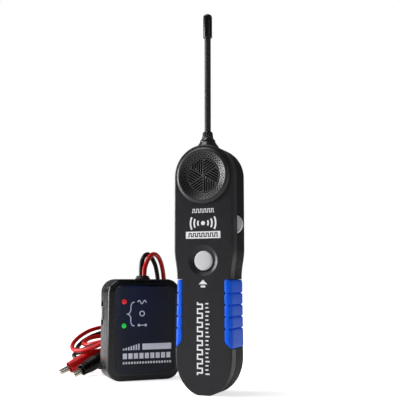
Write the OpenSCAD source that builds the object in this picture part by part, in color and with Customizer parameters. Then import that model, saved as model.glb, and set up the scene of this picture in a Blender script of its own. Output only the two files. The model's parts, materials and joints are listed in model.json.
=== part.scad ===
// Circuit breaker finder: a hand-held receiver with a flexible antenna, and a transmitter box
// with two leads that end in crocodile clips. Millimetres, +Z up. The origin is the centre of the
// receiver's foot. The receiver's face looks along -Y, and the transmitter stands behind its left side.

/* [Receiver] */
// Height of the receiver's casing without the antenna
rx_height = 186.5; // [180:0.5:195]
// Width of the round head
rx_head_width = 47.8; // [45:0.5:49]
// Width at the waist above the grips
rx_waist_width = 43.2; // [41:0.2:44]
// Width of the rounded foot
rx_foot_width = 44.8; // [43:0.2:46]
// Depth of the casing from front to back
rx_depth = 29; // [27:0.5:31]
// Depth of the front shell, from the face to the parting plane
rx_front_depth = 9.6; // [9.2:0.2:10.4]
// Radius of the round button
button_radius = 7.3; // [6.5:0.1:8]
// Travel of the button
button_travel = 1.2; // [0.5:0.1:1.4]
// Radius of the thumbwheel
wheel_radius = 7.6; // [7:0.1:8]

/* [Antenna] */
// Radius of the flexible stem
stem_radius = 2.4; // [2.2:0.05:2.6]
// Height where the flexible stem ends and the pick-up tip begins
stem_top = 272.9; // [260:0.5:290]
// Radius of the pick-up tip
tip_radius = 3.5; // [3.2:0.1:3.8]
// Length of the pick-up tip
tip_length = 19; // [17:0.5:22]

/* [Transmitter] */
// Width of the transmitter box
tx_width = 64; // [60:0.5:66]
// Height of the transmitter box
tx_height = 85; // [82:0.5:90]
// Depth of the transmitter box
tx_depth = 29; // [28:0.5:32]
// Corner radius of the transmitter box
tx_corner = 11.5; // [9:0.5:13]
// Height of the mode switch above the base
switch_height = 56; // [52:0.5:60]

/* [Leads] */
// Diameter of each lead
lead_diameter = 4; // [3.4:0.1:4.2]

/* [Hidden] */
$fn = 48;

wall = 2;
gap = 0.15;
far = 400;

// Receiver casing
front = -rx_depth / 2;
back = rx_depth / 2;
parting = front + rx_front_depth;
head_half = rx_head_width / 2;
waist_half = rx_waist_width / 2;
foot_half = rx_foot_width / 2;
head_z = rx_height - head_half;
foot_z = 27;
foot_dip = 0.6;
neck_low = 86;
neck_high = 108;
back_round = 5;

// Soft grips, set into recesses in both shells
grip_low = 34;
grip_high = 84.5;
grip_strip = 17;
grip_slant = 5;
grip_thick = 3;
grip_proud = 0.3;
groove_pitch = 8.65;
groove_first = 48.4;
groove_depth = 0.9;

// Speaker, button and thumbwheel
speaker_radius = 16.2;
grille_radius = 13.4;
bezel_radius = 21.9;
bezel_rise = 2.2;
button_z = 98.5;
dish_radius = 11.7;
wheel_z = 125.8;
wheel_x = head_half + 3.6 - wheel_radius;
wheel_front = parting + 0.3;
wheel_thick = 3.1;
wheel_shaft = 0.75;
board_front = parting + 0.5;
board_thick = 1.6;

// 9 V block battery
cell_w = 26.5;
cell_d = 17.5;
cell_h = 46.4;
cell_terminal = 2.1;
door_w = 28;
door_h = 50;
door_thick = 1.6;
door_travel = 9.5;
rx_door_z = 32;
rx_cell_place = [0, 0.6, 32.5];

// Antenna, on the parting plane
antenna_y = parting;
collar_low = 184.4;
collar_mid = 188.7;
collar_high = 192.7;
nut_high = 198.1;
stem_base = nut_high + 1.6;
segments = 6;
segment_pitch = (stem_top - stem_base) / segments;
cup_gap = 0.12;
tip_bore = 2.3;

// Transmitter, turned to the side and set back
tx_place = [-86, 50, 0];
tx_turn = 45;
tx_front = -tx_depth / 2;
tx_back = tx_depth / 2;
tx_parting = -1;
led_x = -18.7;
led_red_z = 66;
led_green_z = 46;
tx_door_x = 4;
tx_door_z = 16;
tx_cell_place = [tx_door_x, 2.1, 16.5];
switch_y = 8.5;
switch_slot = 3.2;
gland_high = 3;
gland_x = 1.7;

// Crocodile clips, in a frame with the pivot at the origin and the lead's end along +X
clip_nose = 15;
clip_mouth = 5;
clip_tail = 33;
clip_pitch = 21;
clip_rise = 1.8;
clip_half = 1.6;
pin_radius = 0.85;
boot_wall = 0.5;
red_clip_place = [-158.7, 59.8, 0];
red_clip_turn = 59;
black_clip_place = [-138.8, 48.2, 0];
black_clip_turn = 69;

// Sides of each lead's tube, and the leads' routes from the strain relief to the end of each clip's boot
lead_sides = 8;
red_route = [
    [-82.8, 50.3, 88], [-82.7, 51.3, 95], [-82, 56, 102.5], [-81, 63, 107], [-80, 71.5, 105],
    [-79.5, 78.5, 96.5], [-80, 84, 82], [-82, 88.5, 66], [-89, 97, 53], [-102, 113, 47.5],
    [-121, 124.5, 46], [-141.5, 126.5, 43], [-160, 120, 39], [-171.5, 110, 35.5], [-176.5, 100, 31],
    [-177.5, 89.5, 26], [-174, 79.5, 22], [-166.5, 71.5, 19.5], [-156, 68.5, 19.9], [-145, 68, 22.5],
    [-131.5, 70, 28], [-118, 74, 30], [-105.5, 83.5, 28], [-99.5, 98, 26], [-102.5, 112, 27],
    [-114.5, 120, 30], [-131, 119.5, 31.5], [-147, 114, 31], [-160, 106, 29.9], [-166, 96, 28.1],
    [-165.5, 86, 24.5], [-157, 80.5, 24], [-144, 80, 27], [-130, 83, 29], [-118.5, 91, 31],
    [-113, 102, 30], [-119, 112.5, 27.5], [-131, 111, 25], [-138, 94.2, 22.6], [-142.8, 86.2, 19]
];
black_route = [
    [-86.7, 52.1, 88], [-87.1, 53, 95], [-87.5, 55.5, 101.5], [-87.2, 60, 106], [-86.6, 65.5, 107],
    [-86, 71.5, 103.5], [-84.8, 76.5, 96], [-84, 80, 82], [-85.5, 84.5, 65], [-92.5, 92, 52],
    [-106.5, 106, 44], [-123, 117, 41.5], [-141, 119.5, 38.5], [-157, 114, 34.5], [-166.5, 105, 30.5],
    [-170.5, 95.5, 26.5], [-171, 86.5, 22.5], [-168, 79, 19.9], [-161, 74.5, 19.2], [-150, 73.5, 22.6],
    [-136, 75.5, 26], [-121.5, 80, 26.5], [-111, 88.5, 23], [-106, 102, 20], [-109.5, 115.5, 18],
    [-124, 122.5, 15.5], [-158, 114, 14.5], [-170.5, 101, 15], [-175.5, 89, 14.5], [-171.5, 79.5, 12.5],
    [-163, 78.5, 9], [-151.5, 83, 4.5], [-136.5, 86.5, 2.3], [-103.5, 92, 2.3], [-95.5, 103, 2.8],
    [-98.5, 115, 4.5], [-109, 118, 10.5], [-119, 105.2, 19], [-124.4, 85.7, 22.6], [-127.8, 77, 19]
];

// ---------- shared helpers ----------

function arc_points(cx, cz, rx, rz, from, to, steps) =
    [for (i = [0:steps]) let (a = from + (to - from) * i / steps) [cx + rx * cos(a), cz + rz * sin(a)]];

function mirrored(side) = concat(side,
    [for (i = [len(side) - 1:-1:0]) if (side[i][0] > 0.001) [-side[i][0], side[i][1]]]);

// Right side of the receiver's outline, from the foot to the top of the head
function rx_side(inset) = concat(
    arc_points(0, foot_z, foot_half - inset, foot_z + foot_dip - inset,
        -asin((foot_z - inset) / (foot_z + foot_dip - inset)), 0, 12),
    [[foot_half - inset, grip_low], [waist_half - inset, grip_high]],
    [for (i = [0:8]) [waist_half + (head_half - waist_half) * (1 - cos(22.5 * i)) / 2 - inset,
        neck_low + (neck_high - neck_low) * i / 8]],
    arc_points(0, head_z, head_half - inset, head_half - inset, 0, 90, 18));

// Upright plate of an X-Z outline, from y0 to y1
module plate(y0, y1) {
    translate([0, y1, 0]) rotate([90, 0, 0]) linear_extrude(y1 - y0) children();
}

module rx_plate(y0, y1, inset) {
    plate(y0, y1) polygon(mirrored(rx_side(inset)));
}

// Solid turned about an axis along Y through [x, z]; the profile's height points to the front
module turned(x, z) {
    translate([x, 0, z]) rotate([90, 0, 0]) rotate_extrude() children();
}

module along_y(x, z, y0, y1, radius) {
    translate([x, y1, z]) rotate([90, 0, 0]) cylinder(h = y1 - y0, r = radius);
}

module block(low, high) {
    translate(low) cube(high - low);
}

// ---------- receiver ----------

// Whole casing with its rounded back edge, as a stack of plates
module rx_casing() {
    rx_plate(front, front + 0.6, 0.5);
    rx_plate(front + 0.6, back - back_round, 0);
    rx_back_edge(0);
}

module rx_back_edge(inset) {
    start = back - back_round;
    for (angle = [0, 30, 60])
        rx_plate(start + back_round * sin(angle), start + back_round * sin(angle + 30),
            back_round * (1 - cos(angle + 15)) + inset);
}

// Outline of one grip as seen from the front, grown by a margin
module grip_window(margin) {
    polygon([[grip_strip - margin, grip_low + grip_slant - margin],
        [grip_strip + grip_slant, grip_low - margin], [far, grip_low - margin],
        [far, grip_high + margin], [grip_strip - margin, grip_high + margin]]);
}

module grip_block(margin) {
    plate(front - 1, back + 1) grip_window(margin);
}

module both_sides() {
    children();
    mirror([1, 0, 0]) children();
}

// What the grips take out of the shells
module grip_recess() {
    difference() {
        both_sides() grip_block(gap);
        rx_plate(front + grip_thick, back - grip_thick, grip_thick);
    }
}

module rx_cavity() {
    difference() {
        rx_plate(front + wall, back - wall, wall);
        block([-far, front, rx_door_z - door_travel - 3], [far, back, grip_high + 2.5]);
    }
    rx_plate(front + grip_thick + 1.4, back - grip_thick - 1, grip_thick + 1.8);
}

// The collar's own shape, grown by a margin, which the shells are cut to hold
module collar_shape(margin) {
    plug_low = 180.5;
    translate([0, antenna_y, 0]) rotate_extrude() polygon([[0, plug_low - margin],
        [5 + margin, plug_low - margin], [5 + margin, collar_low - margin],
        [8.9 + margin, collar_low - margin], [8.5 + margin, collar_low + 1.2],
        [7.5 + margin, collar_low + 2.6], [6.7, collar_mid - 0.5], [6.1, collar_mid + 0.4],
        [5.8, collar_mid + 1.5], [5.2, collar_high - 1.5], [5, collar_high], [0, collar_high]]);
}

module screw_places() {
    for (x = [-17, 17], z = [96, 147]) translate([x, 0, z]) children();
    translate([0, 0, 17]) children();
}

module rx_casing_shell() {
    difference() {
        rx_casing();
        grip_recess();
        rx_cavity();
        collar_shape(gap);
    }
}

module receiver_front_shell() color([0.2, 0.2, 0.21]) {
    difference() {
        union() {
            intersection() {
                rx_casing_shell();
                block([-far, front - 1, -1], [far, parting, far]);
            }
            screw_places() along_y(0, 0, front + 1, parting, 2.6);
            along_y(0, button_z, front + 1, front + 2.8, dish_radius + 1);
        }
        screw_places() along_y(0, 0, front + 4, parting + 1, 1.15);
        along_y(0, head_z, front - 1, front + 4, bezel_radius - 2);
        along_y(0, head_z, front - 1, front + 1.3, bezel_radius + gap);
        along_y(0, button_z, front - 1, front + 4, button_radius + 0.2);
        turned(0, button_z) polygon([[0, -front + 0.1], [dish_radius + 0.1, -front + 0.1],
            [dish_radius, -front], [button_radius + 1, -front - 1.6], [0, -front - 1.6]]);
    }
}

module receiver_back_shell() color([0.16, 0.16, 0.17]) {
    difference() {
        union() {
            intersection() {
                rx_casing_shell();
                block([-far, parting, -1], [far, back + 1, far]);
            }
            screw_places() along_y(0, 0, parting, back - 1, 2.6);
        }
        screw_places() along_y(0, 0, parting - 1, back + 1, 1.25);
        screw_places() along_y(0, 0, back - 2.6, back + 1, 2.5);
        block([wheel_x - wheel_radius - 0.4, parting - 1, wheel_z - wheel_radius - 0.15],
            [far, wheel_front + wheel_thick + 0.3, wheel_z + wheel_radius + 0.15]);
        translate([0, 0, rx_door_z]) battery_bay(back);
    }
}

module grip() {
    difference() {
        intersection() {
            grip_block(0);
            union() {
                rx_plate(front - grip_proud, back - back_round, -grip_proud);
                rx_back_edge(-grip_proud);
            }
        }
        rx_plate(front + grip_thick - gap, back - grip_thick + gap, grip_thick - gap);
        for (i = [0:3]) {
            difference() {
                block([grip_strip, front - 1, groove_first + i * groove_pitch - 0.5],
                    [far, back + 1, groove_first + i * groove_pitch + 0.5]);
                rx_plate(front - grip_proud + groove_depth, back - 1, groove_depth - grip_proud);
            }
        }
    }
}

module grip_right() color([0.05, 0.3, 0.85]) grip();

module grip_left() color([0.05, 0.3, 0.85]) mirror([1, 0, 0]) grip();

// Raised ring: it climbs from the face to a crest and falls inward to the grille
module speaker_bezel() color([0.2, 0.2, 0.21]) {
    turned(0, head_z) polygon([[grille_radius + gap, -front - 2.4], [bezel_radius - 2.2, -front - 2.4],
        [bezel_radius - 2.2, -front - 1.2], [bezel_radius, -front - 1.2], [bezel_radius, -front + 0.2],
        [bezel_radius - 0.6, -front + 0.8], [bezel_radius - 2.6, -front + bezel_rise - 0.1],
        [bezel_radius - 3.4, -front + bezel_rise], [grille_radius + gap, -front - 0.1]]);
}

// Grille disc with six sectors of parallel slots, each turned against the next
module speaker_grille() color([0.12, 0.12, 0.13]) {
    difference() {
        along_y(0, head_z, front + 0.3, front + 1.5, grille_radius);
        for (sector = [0:5], slot = [1:5]) {
            x = 1.9 * slot;
            low = x * tan(30) + 0.9;
            high = sqrt(pow(grille_radius - 1.2, 2) - x * x);
            translate([0, front + 0.9, head_z]) rotate([0, 60 * sector, 0])
                translate([-x, 0, (low + high) / 2]) cube([0.9, 3, high - low], center = true);
        }
    }
}

module speaker_frame() color([0.55, 0.55, 0.57]) {
    turned(0, head_z) polygon([[13.9, -front - 2.6], [speaker_radius, -front - 2.6],
        [speaker_radius, -front - 3.7], [9, -front - 7.6], [8.4, -front - 7.6], [8.4, -front - 6.9],
        [13.9, -front - 3.6]]);
}

module speaker_cone() color([0.15, 0.15, 0.15]) {
    turned(0, head_z) polygon([[0, -front - 4.2], [4, -front - 5.6], [13.7, -front - 2.8],
        [13.7, -front - 3.2], [8.2, -front - 6.2], [4, -front - 6.6], [0, -front - 6.6]]);
}

module speaker_magnet() color([0.3, 0.3, 0.32]) {
    along_y(0, head_z, front + 7.8, front + 12.5, 8.2);
}

module test_button() color([0.9, 0.9, 0.9]) {
    turned(0, button_z) polygon([[0, -front - 4.6], [button_radius + 1.3, -front - 4.6],
        [button_radius + 1.3, -front - 3.6], [button_radius, -front - 3.6], [button_radius, -front - 0.6],
        [button_radius - 0.5, -front - 0.1], [0, -front]]);
}

module button_switch() color([0.1, 0.1, 0.1]) {
    block([-3, front + 7, button_z - 3], [3, board_front, button_z + 3]);
    along_y(0, button_z, front + 5 + button_travel, front + 7, 1.6);
}

module sensitivity_wheel() color([0.74, 0.74, 0.74]) {
    along_y(wheel_x, wheel_z, wheel_front, wheel_front + wheel_thick, wheel_radius);
    along_y(wheel_x, wheel_z, wheel_front + 1, wheel_front + wheel_thick + 3, wheel_shaft);
}

module wheel_potentiometer() color([0.15, 0.2, 0.45]) {
    low = wheel_front + wheel_thick + 0.4;
    difference() {
        block([9, low, wheel_z - 5], [wheel_x + wheel_shaft + 0.6, low + 4, wheel_z + 5]);
        along_y(wheel_x, wheel_z, low - 1, low + 5, wheel_shaft + 0.05);
    }
    block([9, board_front + board_thick, wheel_z - 5], [11, low, wheel_z + 5]);
}

module receiver_board() color([0.05, 0.35, 0.15]) {
    difference() {
        block([-14, board_front, 87], [14, board_front + board_thick, 150]);
        block([wheel_x - wheel_radius - 0.7, board_front - 1, wheel_z - wheel_radius - 1],
            [far, board_front + board_thick + 1, wheel_z + wheel_radius + 1]);
    }
    block([-11, board_front + board_thick, 108], [-3, board_front + board_thick + 1.6, 120]);
    block([-8, board_front + board_thick, 130], [3, board_front + board_thick + 2, 137]);
}

// Upright 9 V cell standing on the X-Y plane, centred on the Z axis
module cell() {
    block([-cell_w / 2, -cell_d / 2, 0], [cell_w / 2, cell_d / 2, cell_h]);
    for (x = [-6.35, 6.35]) translate([x, 0, cell_h]) cylinder(h = cell_terminal, r = 2.8);
}

module snap() {
    difference() {
        block([-cell_w / 2 + 0.5, -5.5, cell_h + 0.05], [cell_w / 2 - 0.5, 5.5, cell_h + cell_terminal + 1]);
        for (x = [-6.35, 6.35]) translate([x, 0, cell_h - 1]) cylinder(h = cell_terminal + 1.05, r = 2.85);
    }
}

module receiver_battery() color([0.75, 0.6, 0.3]) translate(rx_cell_place) cell();

module receiver_battery_snap() color([0.1, 0.1, 0.1]) translate(rx_cell_place) snap();

// Sliding door whose lower edge is on z = 0 and whose outer face is on y
module battery_door(y) {
    difference() {
        block([-door_w / 2, y - door_thick, 0], [door_w / 2, y, door_h]);
        for (i = [0:3]) block([-7, y - 0.5, door_h - 10 + i * 2], [7, y + 1, door_h - 9 + i * 2]);
    }
}

// Pocket that a battery door slides down in, with the opening that the cell goes in through
module battery_bay(y) {
    block([-door_w / 2 - 0.2, y - door_thick - 0.3, -door_travel - 0.5],
        [door_w / 2 + 0.2, y + 1, door_h + 0.3]);
    block([-cell_w / 2 - 0.3, y - 5, 1.5], [cell_w / 2 + 0.3, y, door_h - 1.5]);
}

module receiver_battery_door() color([0.16, 0.16, 0.17])
    translate([0, 0, rx_door_z]) battery_door(back);

// Casing screw with its head to the back, from the parting plane to the head's face
module casing_screw(from, head_face) {
    along_y(0, 0, from, head_face - 1, 1.1);
    difference() {
        along_y(0, 0, head_face - 1.6, head_face, 2.2);
        block([-1.6, head_face - 0.7, -0.25], [1.6, head_face + 1, 0.25]);
        block([-0.25, head_face - 0.7, -1.6], [0.25, head_face + 1, 1.6]);
    }
}

module receiver_screws() color("silver") {
    screw_places() casing_screw(parting - 3.5, back - 1);
}

module antenna_collar() color([0.13, 0.13, 0.15]) collar_shape(0);

// Slotted nut with the neck and the ball that the stem's first joint turns on
module antenna_nut() color([0.13, 0.13, 0.15]) {
    translate([0, antenna_y, 0]) {
        difference() {
            translate([0, 0, collar_high]) cylinder(h = nut_high - collar_high, r1 = 3.75, r2 = 3);
            for (i = [0:7]) rotate([0, 0, 45 * i]) translate([3.3, 0, collar_high + 1.2 + 2])
                cube([1.2, 0.6, 4], center = true);
        }
        translate([0, 0, nut_high - 0.5]) cylinder(h = stem_base - nut_high + 0.5, r = stem_radius);
        translate([0, 0, stem_base]) sphere(r = stem_radius);
    }
}

// One link of the flexible stem: a cup below that rides on the ball of the link under it
module stem_segment(number) {
    low = stem_base + (number - 1) * segment_pitch;
    translate([0, antenna_y, low]) {
        difference() {
            cylinder(h = segment_pitch, r = stem_radius);
            sphere(r = stem_radius + cup_gap);
        }
        if (number < segments) translate([0, 0, segment_pitch]) sphere(r = stem_radius);
    }
}

module stem_segment_1() color([0.1, 0.1, 0.11]) stem_segment(1);
module stem_segment_2() color([0.12, 0.12, 0.13]) stem_segment(2);
module stem_segment_3() color([0.1, 0.1, 0.11]) stem_segment(3);
module stem_segment_4() color([0.12, 0.12, 0.13]) stem_segment(4);
module stem_segment_5() color([0.1, 0.1, 0.11]) stem_segment(5);
module stem_segment_6() color([0.12, 0.12, 0.13]) stem_segment(6);

module antenna_tip() color([0.08, 0.08, 0.09]) {
    translate([0, antenna_y, stem_top]) rotate_extrude() polygon(concat(
        [[0, 0], [tip_radius - 0.3, 0], [tip_radius, 0.4]],
        arc_points(0, tip_length - tip_radius, tip_radius, tip_radius, 0, 90, 8),
        [[0, tip_length - 1.2], [tip_bore, tip_length - 1.8], [tip_bore, 1.2], [0, 1.2]]));
}

module pickup_coil() color([0.7, 0.4, 0.2]) {
    translate([0, antenna_y, stem_top + 1.2]) cylinder(h = tip_length - 3.2, r = 1.3);
    translate([0, antenna_y, stem_top + 3]) cylinder(h = tip_length - 7, r = 2.2);
}

// ---------- transmitter, in its own frame ----------

module tx() {
    translate(tx_place) rotate([0, 0, tx_turn]) children();
}

// Rounded upright rectangle with its lower edge on z = inset
module tx_outline(inset) {
    corner = max(tx_corner - inset, 1);
    x = tx_width / 2 - inset - corner;
    polygon(concat(
        arc_points(x, inset + corner, corner, corner, -90, 0, 8),
        arc_points(x, tx_height - inset - corner, corner, corner, 0, 90, 8),
        arc_points(-x, tx_height - inset - corner, corner, corner, 90, 180, 8),
        arc_points(-x, inset + corner, corner, corner, 180, 270, 8)));
}

module tx_casing() {
    plate(tx_front, tx_front + 1.2) tx_outline(4);
    plate(tx_front + 1.2, tx_front + 2.4) tx_outline(1.6);
    plate(tx_front + 2.4, tx_back - 2.4) tx_outline(0);
    plate(tx_back - 2.4, tx_back - 0.8) tx_outline(1);
    plate(tx_back - 0.8, tx_back) tx_outline(3);
}

module tx_screw_places() {
    for (x = [-22.5, 22.5]) translate([x, 0, tx_height - 7.5]) children();
    translate([-22.5, 0, 7.5]) children();
    translate([22.5, 0, 7.5]) children();
}

module tx_shell() {
    difference() {
        tx_casing();
        plate(tx_front + wall + 0.6, tx_back - wall) tx_outline(wall + 0.2);
        translate([gland_x, 0, tx_height - 3]) cylinder(h = 4, r = 5 + gap);
    }
}

module transmitter_front_shell() color([0.15, 0.16, 0.18]) tx() {
    difference() {
        union() {
            intersection() {
                tx_shell();
                block([-far, tx_front - 1, -1], [far, tx_parting, far]);
            }
            tx_screw_places() along_y(0, 0, tx_front + 2, tx_parting, 2.6);
        }
        tx_screw_places() along_y(0, 0, tx_front + 5, tx_parting + 1, 1.15);
        plate(tx_front - 1, tx_front + 0.5) tx_outline(6.5 - gap);
        for (z = [led_red_z, led_green_z]) along_y(led_x, z, tx_front - 1, tx_front + 4, 2.55);
    }
}

module transmitter_back_shell() color([0.13, 0.14, 0.16]) tx() {
    difference() {
        union() {
            intersection() {
                tx_shell();
                block([-far, tx_parting, -1], [far, tx_back + 1, far]);
            }
            tx_screw_places() along_y(0, 0, tx_parting, tx_back - 1, 2.6);
            block([tx_door_x - 16.5, tx_back - 3.6, 3.5], [tx_door_x + 16.5, tx_back - 1, 68.5]);
        }
        tx_screw_places() along_y(0, 0, tx_parting - 1, tx_back + 1, 1.25);
        tx_screw_places() along_y(0, 0, tx_back - 2.6, tx_back + 1, 2.5);
        block([-far, switch_y - switch_slot, switch_height - 10],
            [-tx_width / 2 + 3, switch_y + switch_slot, switch_height + 10]);
        translate([tx_door_x, 0, tx_door_z]) battery_bay(tx_back);
    }
}

module transmitter_panel() color([0.13, 0.14, 0.18]) tx() {
    difference() {
        plate(tx_front, tx_front + 0.4) tx_outline(6.5);
        for (z = [led_red_z, led_green_z]) along_y(led_x, z, tx_front - 1, tx_front + 1, 2.55);
    }
}

module mode_switch_knob() color([0.93, 0.93, 0.93]) tx() {
    side = -tx_width / 2;
    half = switch_slot - 0.4;
    block([side - 1.3, switch_y - half, switch_height - 5.5],
        [side + 1.6, switch_y + half, switch_height + 5.5]);
    block([side + 1.5, switch_y - 1, switch_height - 1.5], [side + 5, switch_y + 1, switch_height + 1.5]);
}

module mode_switch_body() color([0.5, 0.5, 0.52]) tx() {
    side = -tx_width / 2;
    difference() {
        block([side + 3.2, switch_y - 3.6, switch_height - 9.5],
            [side + 9, switch_y + 3.6, switch_height + 9.5]);
        block([side + 3, switch_y - 1.3, switch_height - 6.2],
            [side + 5.6, switch_y + 1.3, switch_height + 6.2]);
    }
}

module led(z) {
    translate([led_x, 0, z]) rotate([90, 0, 0]) rotate_extrude() polygon(concat(
        [[0, -tx_front - 5.8], [2.9, -tx_front - 5.8], [2.9, -tx_front - 4.8], [2.45, -tx_front - 4.8]],
        arc_points(0, -tx_front - 1.3, 2.45, 2.45, 0, 90, 8)));
}

module red_led() color([0.85, 0.1, 0.1]) tx() led(led_red_z);

module green_led() color([0.1, 0.75, 0.25]) tx() led(led_green_z);

module transmitter_board() color([0.05, 0.35, 0.15]) tx() {
    block([-25, tx_front + 6, 13], [25, tx_front + 7.6, 72]);
    block([-12, tx_front + 7.6, 68.5], [2, tx_front + 10, 71.5]);
}

module transmitter_battery() color([0.75, 0.6, 0.3]) tx() translate(tx_cell_place) cell();

module transmitter_battery_snap() color([0.1, 0.1, 0.1]) tx() translate(tx_cell_place) snap();

module transmitter_battery_door() color([0.13, 0.14, 0.16]) tx()
    translate([tx_door_x, 0, tx_door_z]) battery_door(tx_back);

module transmitter_screws() color("silver") tx() {
    tx_screw_places() casing_screw(tx_parting - 4, tx_back - 1);
}

// Strain relief that both leads come out of
module lead_gland() color([0.12, 0.12, 0.13]) tx() translate([gland_x, 0, 0]) {
    translate([0, 0, tx_height - 3]) cylinder(h = 3.1, r = 5);
    translate([0, 0, tx_height + 0.05]) cylinder(h = gland_high / 2, r = 6.5);
    translate([0, 0, tx_height]) cylinder(h = gland_high, r = 5.2);
}

// ---------- crocodile clips ----------

// Puts a clip's own frame at its place on the floor, with its nose down
module clip_at(place, turn) {
    translate([place[0], place[1], clip_rise + clip_nose * sin(clip_pitch)]) rotate([0, 0, turn])
        rotate([0, -clip_pitch, 0]) children();
}

// Plate of a side profile across the clip's width
module clip_side(points) {
    translate([0, clip_half, 0]) rotate([90, 0, 0]) linear_extrude(2 * clip_half) polygon(points);
}

module across(radius, length) {
    rotate([90, 0, 0]) cylinder(h = length, r = radius, center = true);
}

// Lower jaw: nose, cheeks round the pivot, and a handle that comes back to the crimp
module fixed_jaw() {
    clip_side([[-clip_nose, -1.4], [-clip_nose + 1, -2], [-4, -2.8], [3, -3.2], [16, -4.6], [19, -4.4],
        [27, -1.2], [27, -0.4], [18.6, -3.5], [15.8, -3.7], [4, -2.5], [-2.8, -2.4], [-3.6, -0.9],
        [-5, -0.3], [-clip_nose, -0.15]]);
    difference() {
        for (y = [-clip_half - 1, clip_half + 0.2]) block([-3, y, -3], [3, y + 0.8, 1.6]);
        across(pin_radius + 0.05, 8);
    }
    block([-3, -clip_half - 1, -3.2], [3, clip_half + 1, -2.4]);
}

module moving_jaw() {
    difference() {
        union() {
            clip_side([[-clip_nose, 0.15], [-5, 0.3], [-3.4, 0.5], [-2, 1], [2, 1], [4, 1.9], [16, 3.3],
                [17, 3.5], [17, 4.3], [15.6, 4.2], [3, 2.8], [-2.4, 2.7], [-4, 2.2],
                [-clip_nose + 1, 1.7], [-clip_nose, 1.2]]);
            across(1.9, 2 * clip_half);
        }
        across(pin_radius + 0.05, 8);
        block([-2.2, -0.9, -3], [2.2, 0.9, 1.9]);
    }
}

module clip_pin() across(pin_radius, 2 * clip_half + 2.4);

module clip_spring() {
    difference() {
        across(1.6, 1.4);
        across(pin_radius + 0.2, 2);
    }
}

// Half width of the boot along the clip: widest at x = 14
function boot_half(x) = x < 14 ? 5 + 1.4 * sin(90 * (x + clip_mouth) / (14 + clip_mouth))
    : 6.4 - 3.9 * (1 - cos(90 * (x - 14) / (clip_tail - 14)));

// Soft sleeve over both handles, hollow so that the moving handle can travel inside it
module clip_boot() {
    hollow_end = 29.5;
    outer = [for (i = [0:12]) let (x = -clip_mouth + (clip_tail + clip_mouth) * i / 12) [boot_half(x), x]];
    inner = [for (i = [0:9]) let (x = -clip_mouth + (hollow_end + clip_mouth) * i / 9)
        [boot_half(x) - boot_wall, x]];
    mouth = [[0, -clip_mouth - 1], [inner[0][0], -clip_mouth - 1]];
    difference() {
        rotate([0, 90, 0]) rotate_extrude() polygon(concat([[0, -clip_mouth]], outer, [[0, clip_tail]]));
        rotate([0, 90, 0]) rotate_extrude() polygon(concat(mouth, inner, [[0, hollow_end]]));
    }
}

module red_clip_fixed_jaw() color("silver") clip_at(red_clip_place, red_clip_turn) fixed_jaw();
module red_clip_moving_jaw() color("silver") clip_at(red_clip_place, red_clip_turn) moving_jaw();
module red_clip_pin() color("gray") clip_at(red_clip_place, red_clip_turn) clip_pin();
module red_clip_spring() color("gray") clip_at(red_clip_place, red_clip_turn) clip_spring();
module red_clip_boot() color([0.8, 0.08, 0.08]) clip_at(red_clip_place, red_clip_turn) clip_boot();
module black_clip_fixed_jaw() color("silver") clip_at(black_clip_place, black_clip_turn) fixed_jaw();
module black_clip_moving_jaw() color("silver") clip_at(black_clip_place, black_clip_turn) moving_jaw();
module black_clip_pin() color("gray") clip_at(black_clip_place, black_clip_turn) clip_pin();
module black_clip_spring() color("gray") clip_at(black_clip_place, black_clip_turn) clip_spring();
module black_clip_boot() color([0.08, 0.08, 0.08]) clip_at(black_clip_place, black_clip_turn) clip_boot();

// ---------- leads ----------

// Point of a smooth curve through b and c, a part t of the way from b to c
function curve_point(a, b, c, d, t) = 0.5 * (2 * b + (c - a) * t + (2 * a - 5 * b + 4 * c - d) * t * t
    + (3 * b - a - 3 * c + d) * t * t * t);

// A route with one more point past each end, in line with its last two
function extended(route) = let (last = len(route) - 1)
    concat([2 * route[0] - route[1]], route, [2 * route[last] - route[last - 1]]);

function route_curve(route) = let (r = extended(route)) concat(
    [for (i = [1:len(route) - 1], t = [0, 0.5]) curve_point(r[i - 1], r[i], r[i + 1], r[i + 2], t)],
    [r[len(route)]]);

function unit(v) = v / norm(v);

function heading(points, i) = unit(points[min(i + 1, len(points) - 1)] - points[max(i - 1, 0)]);

// Sideways direction at each point, carried along the curve without twisting
function sideways(points, i, last_side, done) = i == len(points) ? done
    : let (ahead = heading(points, i), side = unit(last_side - (last_side * ahead) * ahead))
        sideways(points, i + 1, side, concat(done, [side]));

// Round tube swept along a route
module lead(route) {
    points = route_curve(route);
    sides = sideways(points, 0, [1, 0, 0], []);
    rings = [for (i = [0:len(points) - 1], k = [0:lead_sides - 1])
        let (a = 360 * k / lead_sides, up = cross(heading(points, i), sides[i]))
            points[i] + lead_diameter / 2 * (cos(a) * sides[i] + sin(a) * up)];
    walls = [for (i = [0:len(points) - 2], k = [0:lead_sides - 1])
        let (n = (k + 1) % lead_sides, low = i * lead_sides, high = low + lead_sides)
            [low + k, high + k, high + n, low + n]];
    ends = [[for (k = [0:lead_sides - 1]) k],
        [for (k = [lead_sides - 1:-1:0]) (len(points) - 1) * lead_sides + k]];
    polyhedron(rings, concat(walls, ends), convexity = 10);
}

module red_lead() color([0.85, 0.08, 0.08]) lead(red_route);

module black_lead() color([0.06, 0.06, 0.06]) lead(black_route);

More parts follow.
